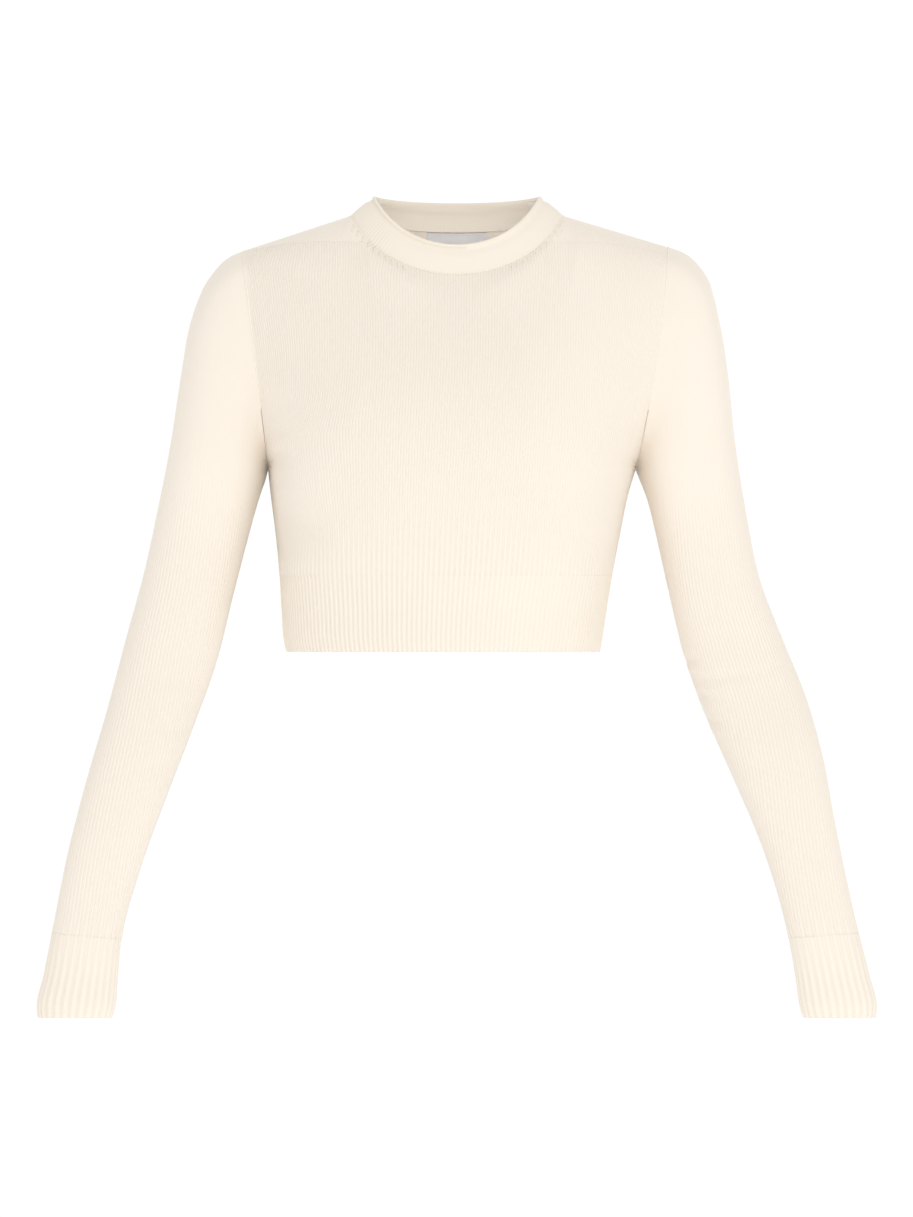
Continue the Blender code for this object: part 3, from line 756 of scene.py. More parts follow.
def knitted(cloth, creases, rib, seam, turned, crisp, full_turn=None, free_row=None):
    """The grid of a cut cloth, with its creases."""
    height = crease_heights(creases, cloth.around, cloth.runs, full_turn)
    points = cloth.points + cloth.normals * height[..., None]
    rib, crisp = (np.broadcast_to(value, cloth.wales.shape) for value in (rib, crisp))
    return Grid(points, cloth.wales, cloth.runs / COURSE, rib, seam, crisp, turned, free_row)


def edge_spaced(start, end, step):
    """Even places from start to end, with two more close to each end for its edge."""
    middle = np.linspace(start, end, round((end - start) / step) + 1)
    return np.sort(np.concatenate((middle, start + SEAM_ROWS, end - SEAM_ROWS)))


# ---------------------------------------------------------------- body


class Body:
    """Nets of the front, the back and the strips over the shoulders, on one set of columns."""

    def __init__(self):
        self.shares = np.linspace(-1.0, 1.0, NET_COLUMNS)
        self.middle = NET_COLUMNS // 2
        self.corner = int(np.argmin(np.abs(self.shares - NECK_SHARE)))
        seam_share = yoke_seam_share()
        self.sheets = {face: body_sheet(face, self.shares) for face in FACES}
        self.front_tops = seam_runs(self.sheets["front"], self.shares, seam_share)
        at_neck = np.clip((NECK_SHARE - np.abs(self.shares)) / NECK_CORNER, 0.0, 1.0)
        neck_inset = SEAM_GAP / 2 * at_neck
        self.underarm_rows, self.runs = {}, {}
        self.lay_rows("front", self.front_tops - SEAM_GAP / 2)
        self.lay_rows("back", self.sheets["back"].knots[-1] - neck_inset)
        self.nets = {face: self.eased_net(face) for face in FACES}
        self.distance = {face: across(net, self.middle) for face, net in self.nets.items()}
        self.strips = {
            side: self.strip(np.flatnonzero(self.shares * sign >= seam_share), neck_inset)
            for side, sign in SIDES.items()
        }

    def lay_rows(self, face, tops):
        """Finds the row at the underarm, and the runs of all rows from the hem rib to the top edge."""
        underarm = self.sheets[face].knots[UNDERARM_KNOT]
        height = tops.max() - underarm
        lower = np.linspace(0.0, underarm, round(underarm / ROW_STEP) + 1)[1:-1]
        lower = np.concatenate(([SEAM_GAP / 2], SEAM_ROWS, lower))
        parts = np.linspace(0.0, 1.0, round(height / ROW_STEP) + 1)
        parts = np.concatenate((parts[:-1], 1 - SEAM_ROWS[::-1] / height, [1.0]))
        above = underarm + np.outer(parts, tops - underarm)
        self.underarm_rows[face] = len(lower)
        self.runs[face] = np.concatenate((in_rows(lower, len(tops)), above))

    def eased_net(self, face):
        """A panel smoothed up and down the body away from its edges, so that it hangs without ridges."""
        runs = self.runs[face]
        net = self.sheets[face].at(runs)
        distance = across(net, self.middle)
        from_side = np.minimum(distance - distance[:, :1], distance[:, -1:] - distance)
        share = within(from_side, EASE_FROM_SIDE) * within(runs, EASE_FROM_HEM)
        share = share * within(runs[-1] - runs, EASE_FROM_TOP)
        for _ in range(EASE_PASSES):
            between = (net[:-2] + net[2:]) / 2
            net[1:-1] += (between - net[1:-1]) * share[1:-1, :, None] / 2
        return net

    def strip(self, columns, neck_inset):
        """Net, runs and distances of the strip from a forward seam up to the shoulder line."""
        sheet = self.sheets["front"]
        start, end = self.front_tops + SEAM_GAP / 2, sheet.knots[-1] - neck_inset
        parts = np.linspace(0.0, 1.0, STRIP_ROWS + 1) ** STRIP_CROWDING
        runs = start + np.outer(parts, np.maximum(end - start, 0.0))
        net = sheet.at(runs)[:, columns]
        shares = np.abs(self.shares[columns])
        corner = int(np.argmin(np.abs(shares - NECK_SHARE)))
        own = across(net, corner)
        over = self.distance["back"][-1, columns]
        fitted = np.where(shares >= NECK_SHARE - TRIFLE, over - own[-1], over[corner])
        return net, runs[:, columns], own + fitted

    def armhole(self, side):
        """Closed ring round an armhole from the underarm up the front, how the cloth leads to it, and
        the ring's place at the shoulder."""
        edge, beside = (-1, -2) if side == "left" else (0, 1)
        front_row, back_row = self.underarm_rows["front"], self.underarm_rows["back"]
        rings = []
        for column in (edge, beside):
            up_front = self.nets["front"][front_row:, column]
            down_back = self.nets["back"][back_row:, column][::-1]
            rings.append(np.concatenate((up_front, self.strips[side][0][:, column], down_back[1:])))
        ring, inside = rings
        shoulder = len(self.nets["front"]) - front_row + STRIP_ROWS
        return ring, unit(ring - inside), shoulder

    def panel_grid(self, face):
        net, runs, distance = self.nets[face], self.runs[face], self.distance[face]
        part = np.clip(runs[:, self.middle] / self.sheets[face].knots[UNDERARM_KNOT], 0.0, 1.0)
        pitch = WALE["hem"] + (WALE["chest"] - WALE["hem"]) * part
        bow = bowed(distance, runs, WALE_BOWS[face])
        cloth = cut_along_wales(net, net_normals(net) * FACES[face], distance, runs, bow, pitch)
        crisp = 1 - CHEST_SOFTENS * within(cloth.around, CHEST_SOFTENS_OVER)
        from_top = cloth.runs[-1:] - cloth.runs
        if face == "back":
            crisp = YOKE_CRISPNESS + (crisp - YOKE_CRISPNESS) * within(from_top, YOKE_SOFTENS_OVER)
            ends_on_shoulder = np.abs(cloth.around[-1:]) > distance[-1, self.corner]
            from_top = np.where(ends_on_shoulder, NO_SEAM, from_top)
        arch = np.exp(-(cloth.around / RIB_ARCH) ** 2)
        fades_over = RIB_FADES_OVER_SIDES + (RIB_FADES_OVER_MIDDLE - RIB_FADES_OVER_SIDES) * arch
        rib = RIB_AT_HEM * eased(1 - cloth.runs / fades_over)
        crisp = crisp * within(cloth.side_gap, SIDE_SOFTENS_OVER)
        seam = np.minimum(cloth.side_gap, from_top)
        return knitted(cloth, CREASES[face], rib, seam, face == "back", crisp)

    def strip_grid(self, side):
        net, runs, distance = self.strips[side]
        cloth = cut_along_wales(net, net_normals(net), distance, runs, distance, WALE["chest"])
        seam = np.minimum(cloth.side_gap, cloth.runs - cloth.runs[:1])
        return knitted(cloth, (), 0.0, seam, False, YOKE_CRISPNESS)


def hem_grid(face, shares):
    """The hem rib of one face, with every wale running through it."""
    sheet = Sheet([level_section(level, face, shares) for level in HEM_LEVELS[::-1]])
    sheet.knots = np.array([level.z - HEM_LEVELS[-1].z for level in HEM_LEVELS[::-1]])
    sheet.slopes = np.gradient(sheet.rows, sheet.knots, axis=0)
    runs = edge_spaced(0.0, sheet.knots[-1] - SEAM_GAP / 2, RIB_ROW_STEP)
    net, every_run = sheet.level_at(runs), in_rows(runs, len(shares))
    distance = across(net, len(shares) // 2)
    girth = distance[:, -1] - distance[:, 0]
    pitch = WALE["hem"] * girth / girth[-1]
    cloth = cut_along_wales(net, net_normals(net) * FACES[face], distance, every_run, distance, pitch)
    rib = RIB_AT_HEM + (1 - RIB_AT_HEM) * eased((runs[-1] - cloth.runs) / HEM_RIB_GROWS_OVER)
    crisp = 1 - HEM_SOFTENS * within(cloth.around, HEM_SOFTENS_OVER)
    return net, knitted(cloth, (), rib, cloth.side_gap, face == "back", crisp, free_row=0)


# ---------------------------------------------------------------- sleeves and cuffs


class Sleeve:
    """One sleeve and its cuff, in rows round the arm."""

    def __init__(self, body, side):
        ring, lead, shoulder = body.armhole(side)
        run = run_along(ring)
        ring_at = np.interp(run, (0.0, run[shoulder], run[-1]), (0.0, math.pi, 2 * math.pi))
        self.side, self.turned = side, side == "left"
        self.turns = np.linspace(0.0, 2 * math.pi, RING_COLUMNS)
        ring, lead = (read_off(line, ring_at, self.turns) for line in (ring, lead))
        self.sheet = sleeve_sheet(ring, lead, self.turns, side)
        self.cuff_run = self.sheet.knots[len(SLEEVES[side]) + 1]
        wrist_girth = self.girth(self.sheet.level_at(self.cuff_run + JUST_BESIDE))[1]
        self.cuff_wales = 2 * round(wrist_girth / WALE["wrist"] / 2)
        self.wrist_pitch = wrist_girth / self.cuff_wales

    @staticmethod
    def girth(net):
        distance = across(net, RING_COLUMNS // 2)
        return distance[:, -1] - distance[:, 0]

    def normals(self, net):
        return net_normals(net, closed=True) * -SIDES[self.side]

    def cloth(self, net, runs, pitch):
        around = np.tile(np.degrees(self.turns) * AROUND, (len(runs), 1))
        every_run = in_rows(runs, RING_COLUMNS)
        distance = across(net, RING_COLUMNS // 2)
        below_cap = distance[np.searchsorted(runs, CAP_WALES[1])]
        distance = below_cap + (distance - below_cap) * within(every_run, CAP_WALES)
        return cut_along_wales(net, self.normals(net), around, every_run, distance, pitch, 0.0)

    def sleeve_grid(self):
        runs = self.sleeve_runs()
        net = self.sheet.level_at(runs)
        pitch = WALE["arm"] + (self.wrist_pitch - WALE["arm"]) * eased(runs / self.cuff_run)
        cloth = self.cloth(net, runs, pitch)
        seam = np.minimum(cloth.runs, cloth.side_gap + UNDERARM_LIFT)
        rib = RIB_AT_CUFF * eased(1 - (self.cuff_run - cloth.runs) / CUFF_RIB_FADES_OVER)
        outer = np.exp(-((cloth.around - FULL_TURN / 2) / SLEEVE_OUTER_WIDTH) ** 2)
        below_cap = CAP_CRISPNESS + (1 - CAP_CRISPNESS) * within(cloth.runs, CAP_REACH)
        crisp = below_cap * (1 - SLEEVE_OUTER_SOFTENS * outer)
        creases = CREASES[self.side] + self.gathers()
        return net, knitted(cloth, creases, rib, seam, self.turned, crisp, FULL_TURN)

    def sleeve_runs(self):
        """Rows close together at the seams and over the creased elbow, and wider elsewhere."""
        first, last = SEAM_GAP / 2, self.cuff_run - SEAM_GAP / 2
        runs = [first, *(first + SEAM_ROWS)]
        while runs[-1] < last:
            runs.append(runs[-1] + next(row.step for row in SLEEVE_ROW_STEPS if runs[-1] < row.until))
        runs = [run for run in runs if run < last - 2 * SEAM_ROWS[-1]]
        return np.array([*runs, *(last - SEAM_ROWS[::-1]), last])

    def gathers(self):
        """Short puckers where the wider sleeve is drawn in to the cuff, uneven from wale to wale."""
        chance = np.random.default_rng(GATHER_SEED[self.side])
        made, foot = [], self.cuff_run + GATHER_FOOT
        for place in range(GATHER_COUNT):
            around = FULL_TURN * (place + chance.uniform(*GATHER_SPOT)) / GATHER_COUNT
            length, depth = chance.uniform(*GATHER_LENGTH), chance.uniform(*GATHER_DEPTH)
            lean = chance.uniform(-GATHER_LEAN, GATHER_LEAN)
            made.append(Crease(around, foot, around + lean, foot - length, 0.0, GATHER_WIDTH, depth))
        return tuple(made)

    def cuff_grid(self):
        runs = edge_spaced(self.cuff_run + SEAM_GAP / 2, self.sheet.knots[-1], RIB_ROW_STEP)
        net = self.sheet.level_at(runs)
        cloth = self.cloth(net, runs, self.girth(net) / self.cuff_wales)
        seam = cloth.side_gap + UNDERARM_LIFT
        rib = RIB_AT_CUFF + (1 - RIB_AT_CUFF) * eased((cloth.runs - self.cuff_run) / CUFF_RIB_GROWS_OVER)
        return net, knitted(cloth, (), rib, seam, self.turned, CUFF_CRISPNESS, FULL_TURN, free_row=-1)


# ---------------------------------------------------------------- neckband and label


def band_frames():
    """Seam points of the neckband, the way up the band and the way out of it, a quarter wale apart."""
    fine = np.linspace(0.0, 2 * math.pi, 8 * FINE)
    run = run_along(ring_point(NECK_SEAM, fine))
    even = np.linspace(0.0, run[-1], BAND_WALES * LINES_PER_WALE + 1)
    angles = np.interp(even, run, fine)
    seam = ring_point(NECK_SEAM, angles)
    up = ring_point(NECK_EDGE, angles) - seam
    along = np.gradient(seam, axis=0)
    along[0] = along[-1] = along[0] + along[-1]
    along = unit(along)
    return seam, up, unit(np.cross(along, up)), along


def neckband_grid():
    seam, up, out, _ = band_frames()
    knots, profile = np.array(BAND_ROWS).T
    profile = profile[:, None, None]
    slopes = np.gradient(profile, knots, axis=0)
    stands = smooth_through(knots, profile, slopes, BAND_HEIGHTS, np.zeros(len(BAND_HEIGHTS), int))
    net = seam + up * BAND_HEIGHTS[:, None, None] + out * stands[:, :, None]
    wales = np.tile(np.arange(net.shape[1]) / LINES_PER_WALE, (len(net), 1))
    height = in_rows(BAND_HEIGHTS * BAND_HEIGHT, net.shape[1])
    in_front = within(-net[..., 1], ROLL_LINE_RETURNS)
    # The roll line is treated as a seam, so it is grooved and has shade painted along it
    roll_line = np.abs(height - ROLL_LINE_AT) + NO_SEAM * within(net[..., 0], ROLL_LINE_FADES) * in_front
    crisp = BAND_CRISPNESS + (1 - BAND_CRISPNESS) * within(-net[..., 0], BAND_CRISP_FROM) * in_front
    return net, Grid(net, wales, height / COURSE, np.zeros(wales.shape), roll_line, crisp, False, -1)


def label_net():
    """Face of the label that lies against the inside of the back."""
    sheet = body_sheet("back", np.linspace(-LABEL_SHARE, LABEL_SHARE, LABEL_COLUMNS))
    top = sheet.knots[-1] - LABEL_TOP
    face = sheet.level_at(np.linspace(top - LABEL_HEIGHT, top, LABEL_ROWS))
    return face + net_normals(face) * (RELIEFS["body"].wall + LABEL_GAP)


def label_grid():
    net, flat = label_net(), np.zeros((LABEL_ROWS, LABEL_COLUMNS))
    wales = flat + np.linspace(0.0, LABEL_THREADS, LABEL_COLUMNS)
    courses = in_rows(np.linspace(0.0, LABEL_HEIGHT, LABEL_ROWS), LABEL_COLUMNS)
    return net, Grid(net, wales, courses, flat, flat + NO_SEAM, flat, True, 0)


# ---------------------------------------------------------------- node trees


def feed(tree, socket, value):
    """Sets a socket's value, or links it to a socket or to a node's first output."""
    if isinstance(value, bpy.types.Node):
        value = value.outputs[0]
    if isinstance(value, bpy.types.NodeSocket):
        tree.links.new(value, socket)
    else:
        socket.default_value = value


def add_node(tree, kind, inputs=(), **settings):
    """A node with its settings, and with its inputs given by name or by place."""
    node = tree.nodes.new(kind)
    for name, value in settings.items():
        setattr(node, name, value)
    for place, value in dict(inputs).items():
        feed(tree, node.inputs[place], value)
    return node


def calc(tree, operation, *values):
    return add_node(tree, "ShaderNodeMath", enumerate(values), operation=operation)


def new_tree(name, kind, inputs, outputs):
    """A node group with named sockets, and the sockets of its input and output nodes."""
    tree = bpy.data.node_groups.new(name, kind)
    for way, sockets in (("INPUT", inputs), ("OUTPUT", outputs)):
        for label, socket in sockets.items():
            tree.interface.new_socket(label, in_out=way, socket_type="NodeSocket" + socket)
    return tree, tree.nodes.new("NodeGroupInput").outputs, tree.nodes.new("NodeGroupOutput").inputs


def modifier_tree(name, sizes):
    """A tree that a modifier runs on a mesh, with its sizes and its finish as inputs."""
    inputs = {"Geometry": "Geometry", **dict.fromkeys(sizes, "Float"), "Finish": "Material"}
    tree, given, result = new_tree(name, "GeometryNodeTree", inputs, {"Geometry": "Geometry"})
    tree.is_modifier = True
    return tree, given, result


def end_tree(tree, given, result, made):
    """Ends a modifier's tree with a plain mesh that has its finish."""
    made = add_node(tree, "GeometryNodeRealizeInstances", {"Geometry": made})
    made = add_node(tree, "GeometryNodeSetMaterial", {"Geometry": made, "Material": given["Finish"]})
    feed(tree, result["Geometry"], made)
    return tree


def named_value(tree, name, kind="FLOAT"):
    node = add_node(tree, "GeometryNodeInputNamedAttribute", {"Name": name}, data_type=kind)
    return node.outputs["Attribute"]


def relief_tree():
    """Raises the wales and ribs of a knit along its normals, sinks its seams, and stores the shade painted
    in the hollows.
    """
    sizes = ("Wale Depth", "Rib Depth", "Seam Depth", "Seam Width", "Seam Shade")
    tree, given, result = modifier_tree("Knit Relief", sizes)
    do = partial(calc, tree)
    wale, rib, crisp, seam = (named_value(tree, name) for name in ("wale", "rib", "crisp", "seam"))
    plain = do("MULTIPLY", do("COSINE", do("MULTIPLY", wale, 2 * math.pi)), crisp)
    ridge = do("MULTIPLY", do("COSINE", do("MULTIPLY", wale, math.pi)), RIB_SHARPNESS)
    ridge = do("MULTIPLY", do("TANH", ridge), crisp)
    plain_part = do("MULTIPLY", plain, do("SUBTRACT", 1.0, rib))
    rib_height = do("MULTIPLY", do("MULTIPLY", ridge, rib), given["Rib Depth"])
    height = do("MULTIPLY", do("MULTIPLY_ADD", plain_part, given["Wale Depth"], rib_height), 0.5)
    from_seam = do("DIVIDE", seam, given["Seam Width"])
    nearness = do("EXPONENT", do("MULTIPLY", do("POWER", from_seam, 2.0), -1.0))
    height = do("SUBTRACT", height, do("MULTIPLY", nearness, given["Seam Depth"]))
    normal = tree.nodes.new("GeometryNodeInputNormal")
    offset = add_node(tree, "ShaderNodeVectorMath", {0: normal, "Scale": height}, operation="SCALE")
    moved = add_node(tree, "GeometryNodeSetPosition", {"Geometry": given["Geometry"], "Offset": offset})
    # Painted shade: deeper in the hollows between the wales and ribs, and by the Seam Shade near a seam
    painted_shade = do("MULTIPLY_ADD", do("MULTIPLY_ADD", ridge, rib, plain_part), -0.5, 0.5)
    painted_shade = do("MULTIPLY_ADD", nearness, given["Seam Shade"], painted_shade)
    stored = {"Geometry": moved, "Name": "painted_shade", "Value": painted_shade}
    kind = "GeometryNodeStoreNamedAttribute"
    return end_tree(tree, given, result, add_node(tree, kind, stored, data_type="FLOAT", domain="POINT"))


def stitch_tree():
    """Lays a half loop of yarn on every point, along one of its directions and out along another."""
    tree, given, result = modifier_tree("Stitches", Stitch._fields)
    half = calc(tree, "MULTIPLY", given["length"], 0.5)
    start = add_node(tree, "ShaderNodeCombineXYZ", {"X": calc(tree, "MULTIPLY", half, -1.0)})
    top = add_node(tree, "ShaderNodeCombineXYZ", {"Z": given["rise"]})
    end = add_node(tree, "ShaderNodeCombineXYZ", {"X": half})
    places = {"Resolution": STITCH_STEPS, "Start": start, "Middle": top, "End": end}
    arc = add_node(tree, "GeometryNodeCurveQuadraticBezier", places)
    radius = calc(tree, "MULTIPLY", given["thickness"], 0.5)
    parts = {"Resolution": YARN_SIDES, "Radius": radius}
    yarn = add_node(tree, "GeometryNodeCurvePrimitiveCircle", parts)
    parts = {"Curve": arc, "Profile Curve": yarn, "Fill Caps": True}
    loop = add_node(tree, "GeometryNodeCurveToMesh", parts)
    ways = enumerate(named_value(tree, name, "FLOAT_VECTOR") for name in ("out", "along"))
    turn = add_node(tree, "FunctionNodeAxesToRotation", ways, primary_axis="Z", secondary_axis="X")
    parts = {"Points": given["Geometry"], "Instance": loop, "Rotation": turn}
    return end_tree(tree, given, result, add_node(tree, "GeometryNodeInstanceOnPoints", parts))


# ---------------------------------------------------------------- finishes


def stitch_group():
    """Height of plain knitting from its wale and course numbers: two slanted legs to a stitch."""
    sockets = {"Knit": "Vector", "Slant": "Float"}
    tree, given, result = new_tree("Plain Knitting", "ShaderNodeTree", sockets, {"Height": "Float"})
    do = partial(calc, tree)
    parts = add_node(tree, "ShaderNodeSeparateXYZ", {0: given["Knit"]})
    from_middle = do("ABSOLUTE", do("SUBTRACT", do("FRACT", do("ADD", parts, 0.5)), 0.5))
    leg = do("MULTIPLY", do("SUBTRACT", from_middle, 0.25), 4.0)
    leg_round = do("SUBTRACT", 1.0, do("MULTIPLY", leg, leg))
    slanted = do("MULTIPLY_ADD", from_middle, given["Slant"], parts.outputs[1])
    loop = do("COSINE", do("MULTIPLY", slanted, 2 * math.pi))
    loop = do("MULTIPLY_ADD", loop, LOOP_DIP, 1 - LOOP_DIP)
    feed(tree, result["Height"], do("MULTIPLY", leg_round, loop))
    return tree


def nap_group():
    """Soft fuzz of the yarn, and slow changes of tone over the cloth."""
    sockets = dict.fromkeys(NAP, "Float")
    tree, given, result = new_tree("Nap And Tone", "ShaderNodeTree", {"Place": "Vector"}, sockets)
    for label, noise in NAP.items():
        values = {"Vector": given["Place"], "Scale": noise.scale, "Detail": noise.detail}
        feed(tree, result[label], add_node(tree, "ShaderNodeTexNoise", values))
    return tree


def new_material(name, roughness, sheen):
    material = bpy.data.materials.new(name)
    material.use_nodes = True
    tree = material.node_tree
    shader = tree.nodes["Principled BSDF"].inputs
    shader["Roughness"].default_value = roughness
    shader["Specular IOR Level"].default_value = SPECULAR
    shader["Sheen Weight"].default_value = sheen
    shader["Sheen Roughness"].default_value = SHEEN_ROUGHNESS
    shader["Sheen Tint"].default_value = SHEEN_TINT
    return material, tree, shader


def finish_cloth(tree, shader, depth, light, shade_and_tone_colour, relief, distance):
    """Colours a cloth from its own colour towards a darker one by a depth from 0 to 1, which holds painted
    shade and on the knit a random tone, and gives it a fine relief.
    """
    tone = add_node(tree, "ShaderNodeMix", {0: depth, 6: (*light, 1.0), 7: (*shade_and_tone_colour, 1.0)}, data_type="RGBA")
    feed(tree, shader["Base Color"], tone.outputs[2])
    values = {"Strength": BUMP, "Distance": distance, "Height": relief}
    feed(tree, shader["Normal"], add_node(tree, "ShaderNodeBump", values))


def knit_material(name, light, shade_and_tone_colour, stitch_depth):
    """Matt wool with a nap, with shade painted between its stitches and wales and in the seams, and a
    random tone.
    """
    material, tree, shader = new_material(name, WOOL_ROUGHNESS, WOOL_SHEEN)
    do = partial(calc, tree)
    values = {"Knit": add_node(tree, "ShaderNodeUVMap", uv_map="knit"), "Slant": STITCH_SLANT}
    stitches = add_node(tree, "ShaderNodeGroup", values, node_tree=STITCH_GROUP)
    place = tree.nodes.new("ShaderNodeTexCoord").outputs["Object"]
    nap = add_node(tree, "ShaderNodeGroup", {"Place": place}, node_tree=NAP_GROUP)
    painted_shade, crisp = (
        add_node(tree, "ShaderNodeAttribute", attribute_name=label).outputs["Fac"]
        for label in ("painted_shade", "crisp")
    )
    stitched = do("MULTIPLY", stitches, crisp)
    # Shade is painted in the gaps between stitches, in part where the knitting is soft, and in the hollows
    gap = do("SUBTRACT", do("MULTIPLY_ADD", crisp, 1 - SOFT_GAP, SOFT_GAP), stitched)
    depth = do("MULTIPLY_ADD", gap, GAP_PAINTED_SHADE, do("MULTIPLY", painted_shade, HOLLOW_PAINTED_SHADE))
    chance = do("MULTIPLY_ADD", nap.outputs["Tone"], CHANCE_TONE, -CHANCE_TONE / 2)
    depth = add_node(tree, "ShaderNodeClamp", {"Value": do("ADD", depth, chance)})
    relief = do("MULTIPLY_ADD", nap.outputs["Fuzz"], FUZZ, stitched)
    finish_cloth(tree, shader, depth, light, shade_and_tone_colour, relief, stitch_depth)
    return material


def label_material():
    """Woven tape: fine crossing threads with a slight gloss and shade painted between them, and nothing on
    it.
    """
    material, tree, shader = new_material("label_tape", TAPE_ROUGHNESS, TAPE_SHEEN)
    parts = add_node(tree, "ShaderNodeSeparateXYZ", {0: add_node(tree, "ShaderNodeUVMap", uv_map="knit")})
    warp, weft = (
        calc(tree, "COSINE", calc(tree, "MULTIPLY", socket, waves * 2 * math.pi))
        for socket, waves in zip(parts.outputs, LABEL_WAVES)
    )
    weave = calc(tree, "MULTIPLY_ADD", calc(tree, "MULTIPLY", warp, weft), 0.5, 0.5)
    finish_cloth(tree, shader, weave, LABEL_LIGHT, LABEL_WEAVE_SHADE, weave, LABEL_WEAVE)
    return material


# ---------------------------------------------------------------- meshes


def new_object(name, data):
    thing = bpy.data.objects.new(name, data)
    bpy.context.scene.collection.objects.link(thing)
    return thing


def new_cloth_mesh(name, grids):
    """Mesh of one or more grids joined where they share points, with its values as attributes."""
    faces, free, offset = [], [], 0
    for grid in grids:
        index = offset + np.arange(grid.wale.size).reshape(grid.wale.shape)
        corners = [index[:-1, :-1], index[:-1, 1:], index[1:, 1:], index[1:, :-1]]
        if grid.turned:
            corners.reverse()
        faces.append(np.stack(corners, axis=-1).reshape(-1, 4))
        offset += grid.wale.size
        free.append(np.zeros(grid.wale.shape))
        if grid.free_row is not None:
            free[-1][grid.free_row] = 1.0
    faces = np.concatenate(faces)

    def joined(label):
        return np.concatenate([getattr(grid, label).ravel() for grid in grids])

    mesh = bpy.data.meshes.new(name)
    mesh.from_pydata(joined("points").reshape(-1, 3) * MM, [], faces)
    values = {label: joined(label) for label in ("wale", "rib", "seam", "crisp")}
    values["seam"] = values["seam"] * MM
    values["free"] = np.concatenate([part.ravel() for part in free])
    for label, numbers in values.items():
        attribute = mesh.attributes.new(label, "FLOAT", "POINT")
        attribute.data.foreach_set("value", numbers.astype(np.float32))
    knit = np.stack((values["wale"], joined("course")), axis=1)[faces.ravel()]
    mesh.uv_layers.new(name="knit").data.foreach_set("uv", knit.astype(np.float32).ravel())

    # The open edge is rounded; seams stay crisp so that they close up
    work = bmesh.new()
    work.from_mesh(mesh)
    bmesh.ops.remove_doubles(work, verts=work.verts, dist=MERGE_DISTANCE)
    free = work.verts.layers.float["free"]
    for face in work.faces:
        face.smooth = True
    for edge in work.edges:
        edge.smooth = not edge.is_boundary or all(vert[free] > 0.5 for vert in edge.verts)
    work.to_mesh(mesh)
    work.free()
    return mesh


def baked(name, mesh, tree, values, wall=0.0):
    """The object that a mesh becomes once a tree has run on it, with a wall where it gets one."""
    rough = new_object(name + "_rough", mesh)
    made = rough.modifiers.new(tree.name, "NODES")
    made.node_group = tree
    for socket in tree.interface.items_tree:
        if socket.in_out == "INPUT" and socket.name in values:
            made[socket.identifier] = values[socket.name]
    if wall:
        cloth = rough.modifiers.new("Wall", "SOLIDIFY")
        cloth.thickness, cloth.offset = wall * MM, -1.0
    state = bpy.context.evaluated_depsgraph_get()
    finished = bpy.data.meshes.new_from_object(rough.evaluated_get(state), depsgraph=state)
    bpy.data.objects.remove(rough, do_unlink=True)
    bpy.data.meshes.remove(mesh)
    finished.name = name
    return new_object(name, finished)


def place_piece(piece, slot, *nodes):
    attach(piece, "root")
    if nodes:
        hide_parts(*nodes)
    return piece


def stitching(name, kind, slot, finish, points, along, out):
    """Stitches at the given points, each with its own direction along and out of the cloth."""
    mesh = bpy.data.meshes.new(name)
    mesh.from_pydata(points * MM, [], [])
    for label, directions in (("along", along), ("out", out)):
        attribute = mesh.attributes.new(label, "FLOAT_VECTOR", "POINT")
        attribute.data.foreach_set("vector", np.ascontiguousarray(directions, np.float32).ravel())
    values = {label: size * MM for label, size in STITCHES[kind]._asdict().items()}
    piece = baked(name, mesh, STITCH_TREE, {**values, "Finish": finish})
    piece.data.shade_smooth()
    return place_piece(piece, slot)


# ---------------------------------------------------------------- making the top


def fashioning_marks(face, finish):
    """Slanted marks where the panel is narrowed beside the neckline."""
    shares = both_sides([0.0, *np.linspace(*FASHIONING_REACH, FASHIONING_COUNT)])
    shares = shares[shares != 0]
    sheet = body_sheet(face, shares)
    points, along, out = [], [], []
    for row in FASHIONING_ROWS:
        near = sheet.level_at(sheet.knots[-1] - row.from_neck + JUST_BESIDE)
        outward = net_normals(near)[1] * FACES[face]
        up = unit(near[2] - near[0])
        sideways = np.cross(up, outward) * FACES[face]
        points.append(near[1])
        along.append(up + sideways * np.sign(shares)[:, None] * row.lean)
        out.append(outward)
    places = (np.concatenate(part) for part in (points, along, out))
    return stitching(face + "_fashioning_marks", "fashioning", "knit", finish, *places)


def evenly_picked(length, count):
    """Places of so many points out of a closed ring's, whose last is its first."""
    return np.round(np.linspace(0, length - 1, count + 1)).astype(int)[:-1]


def neck_linking(finish):
    """Row of linked loops over the seam between the neckband and the panels."""
    seam, _, out, along = band_frames()
    pick = evenly_picked(len(seam), NECK_LINKING_COUNT)
    points = (seam + out * LINKING_STANDS_OUT)[pick]
    return stitching("neck_linking", "neck", "rib", finish, points, along[pick], out[pick])


def cuff_linking(sleeve, finish):
    """Short stitches across the seam between a sleeve and its cuff, one to a wale."""
    near = sleeve.sheet.level_at(sleeve.cuff_run + JUST_BESIDE)
    pick = evenly_picked(RING_COLUMNS, sleeve.cuff_wales)
    outward = sleeve.normals(near)[1][pick]
    places = near[1][pick] - outward * LINKING_STANDS_OUT, (near[2] - near[0])[pick], outward
    return stitching(sleeve.side + "_cuff_linking", "cuff", "rib", finish, *places)


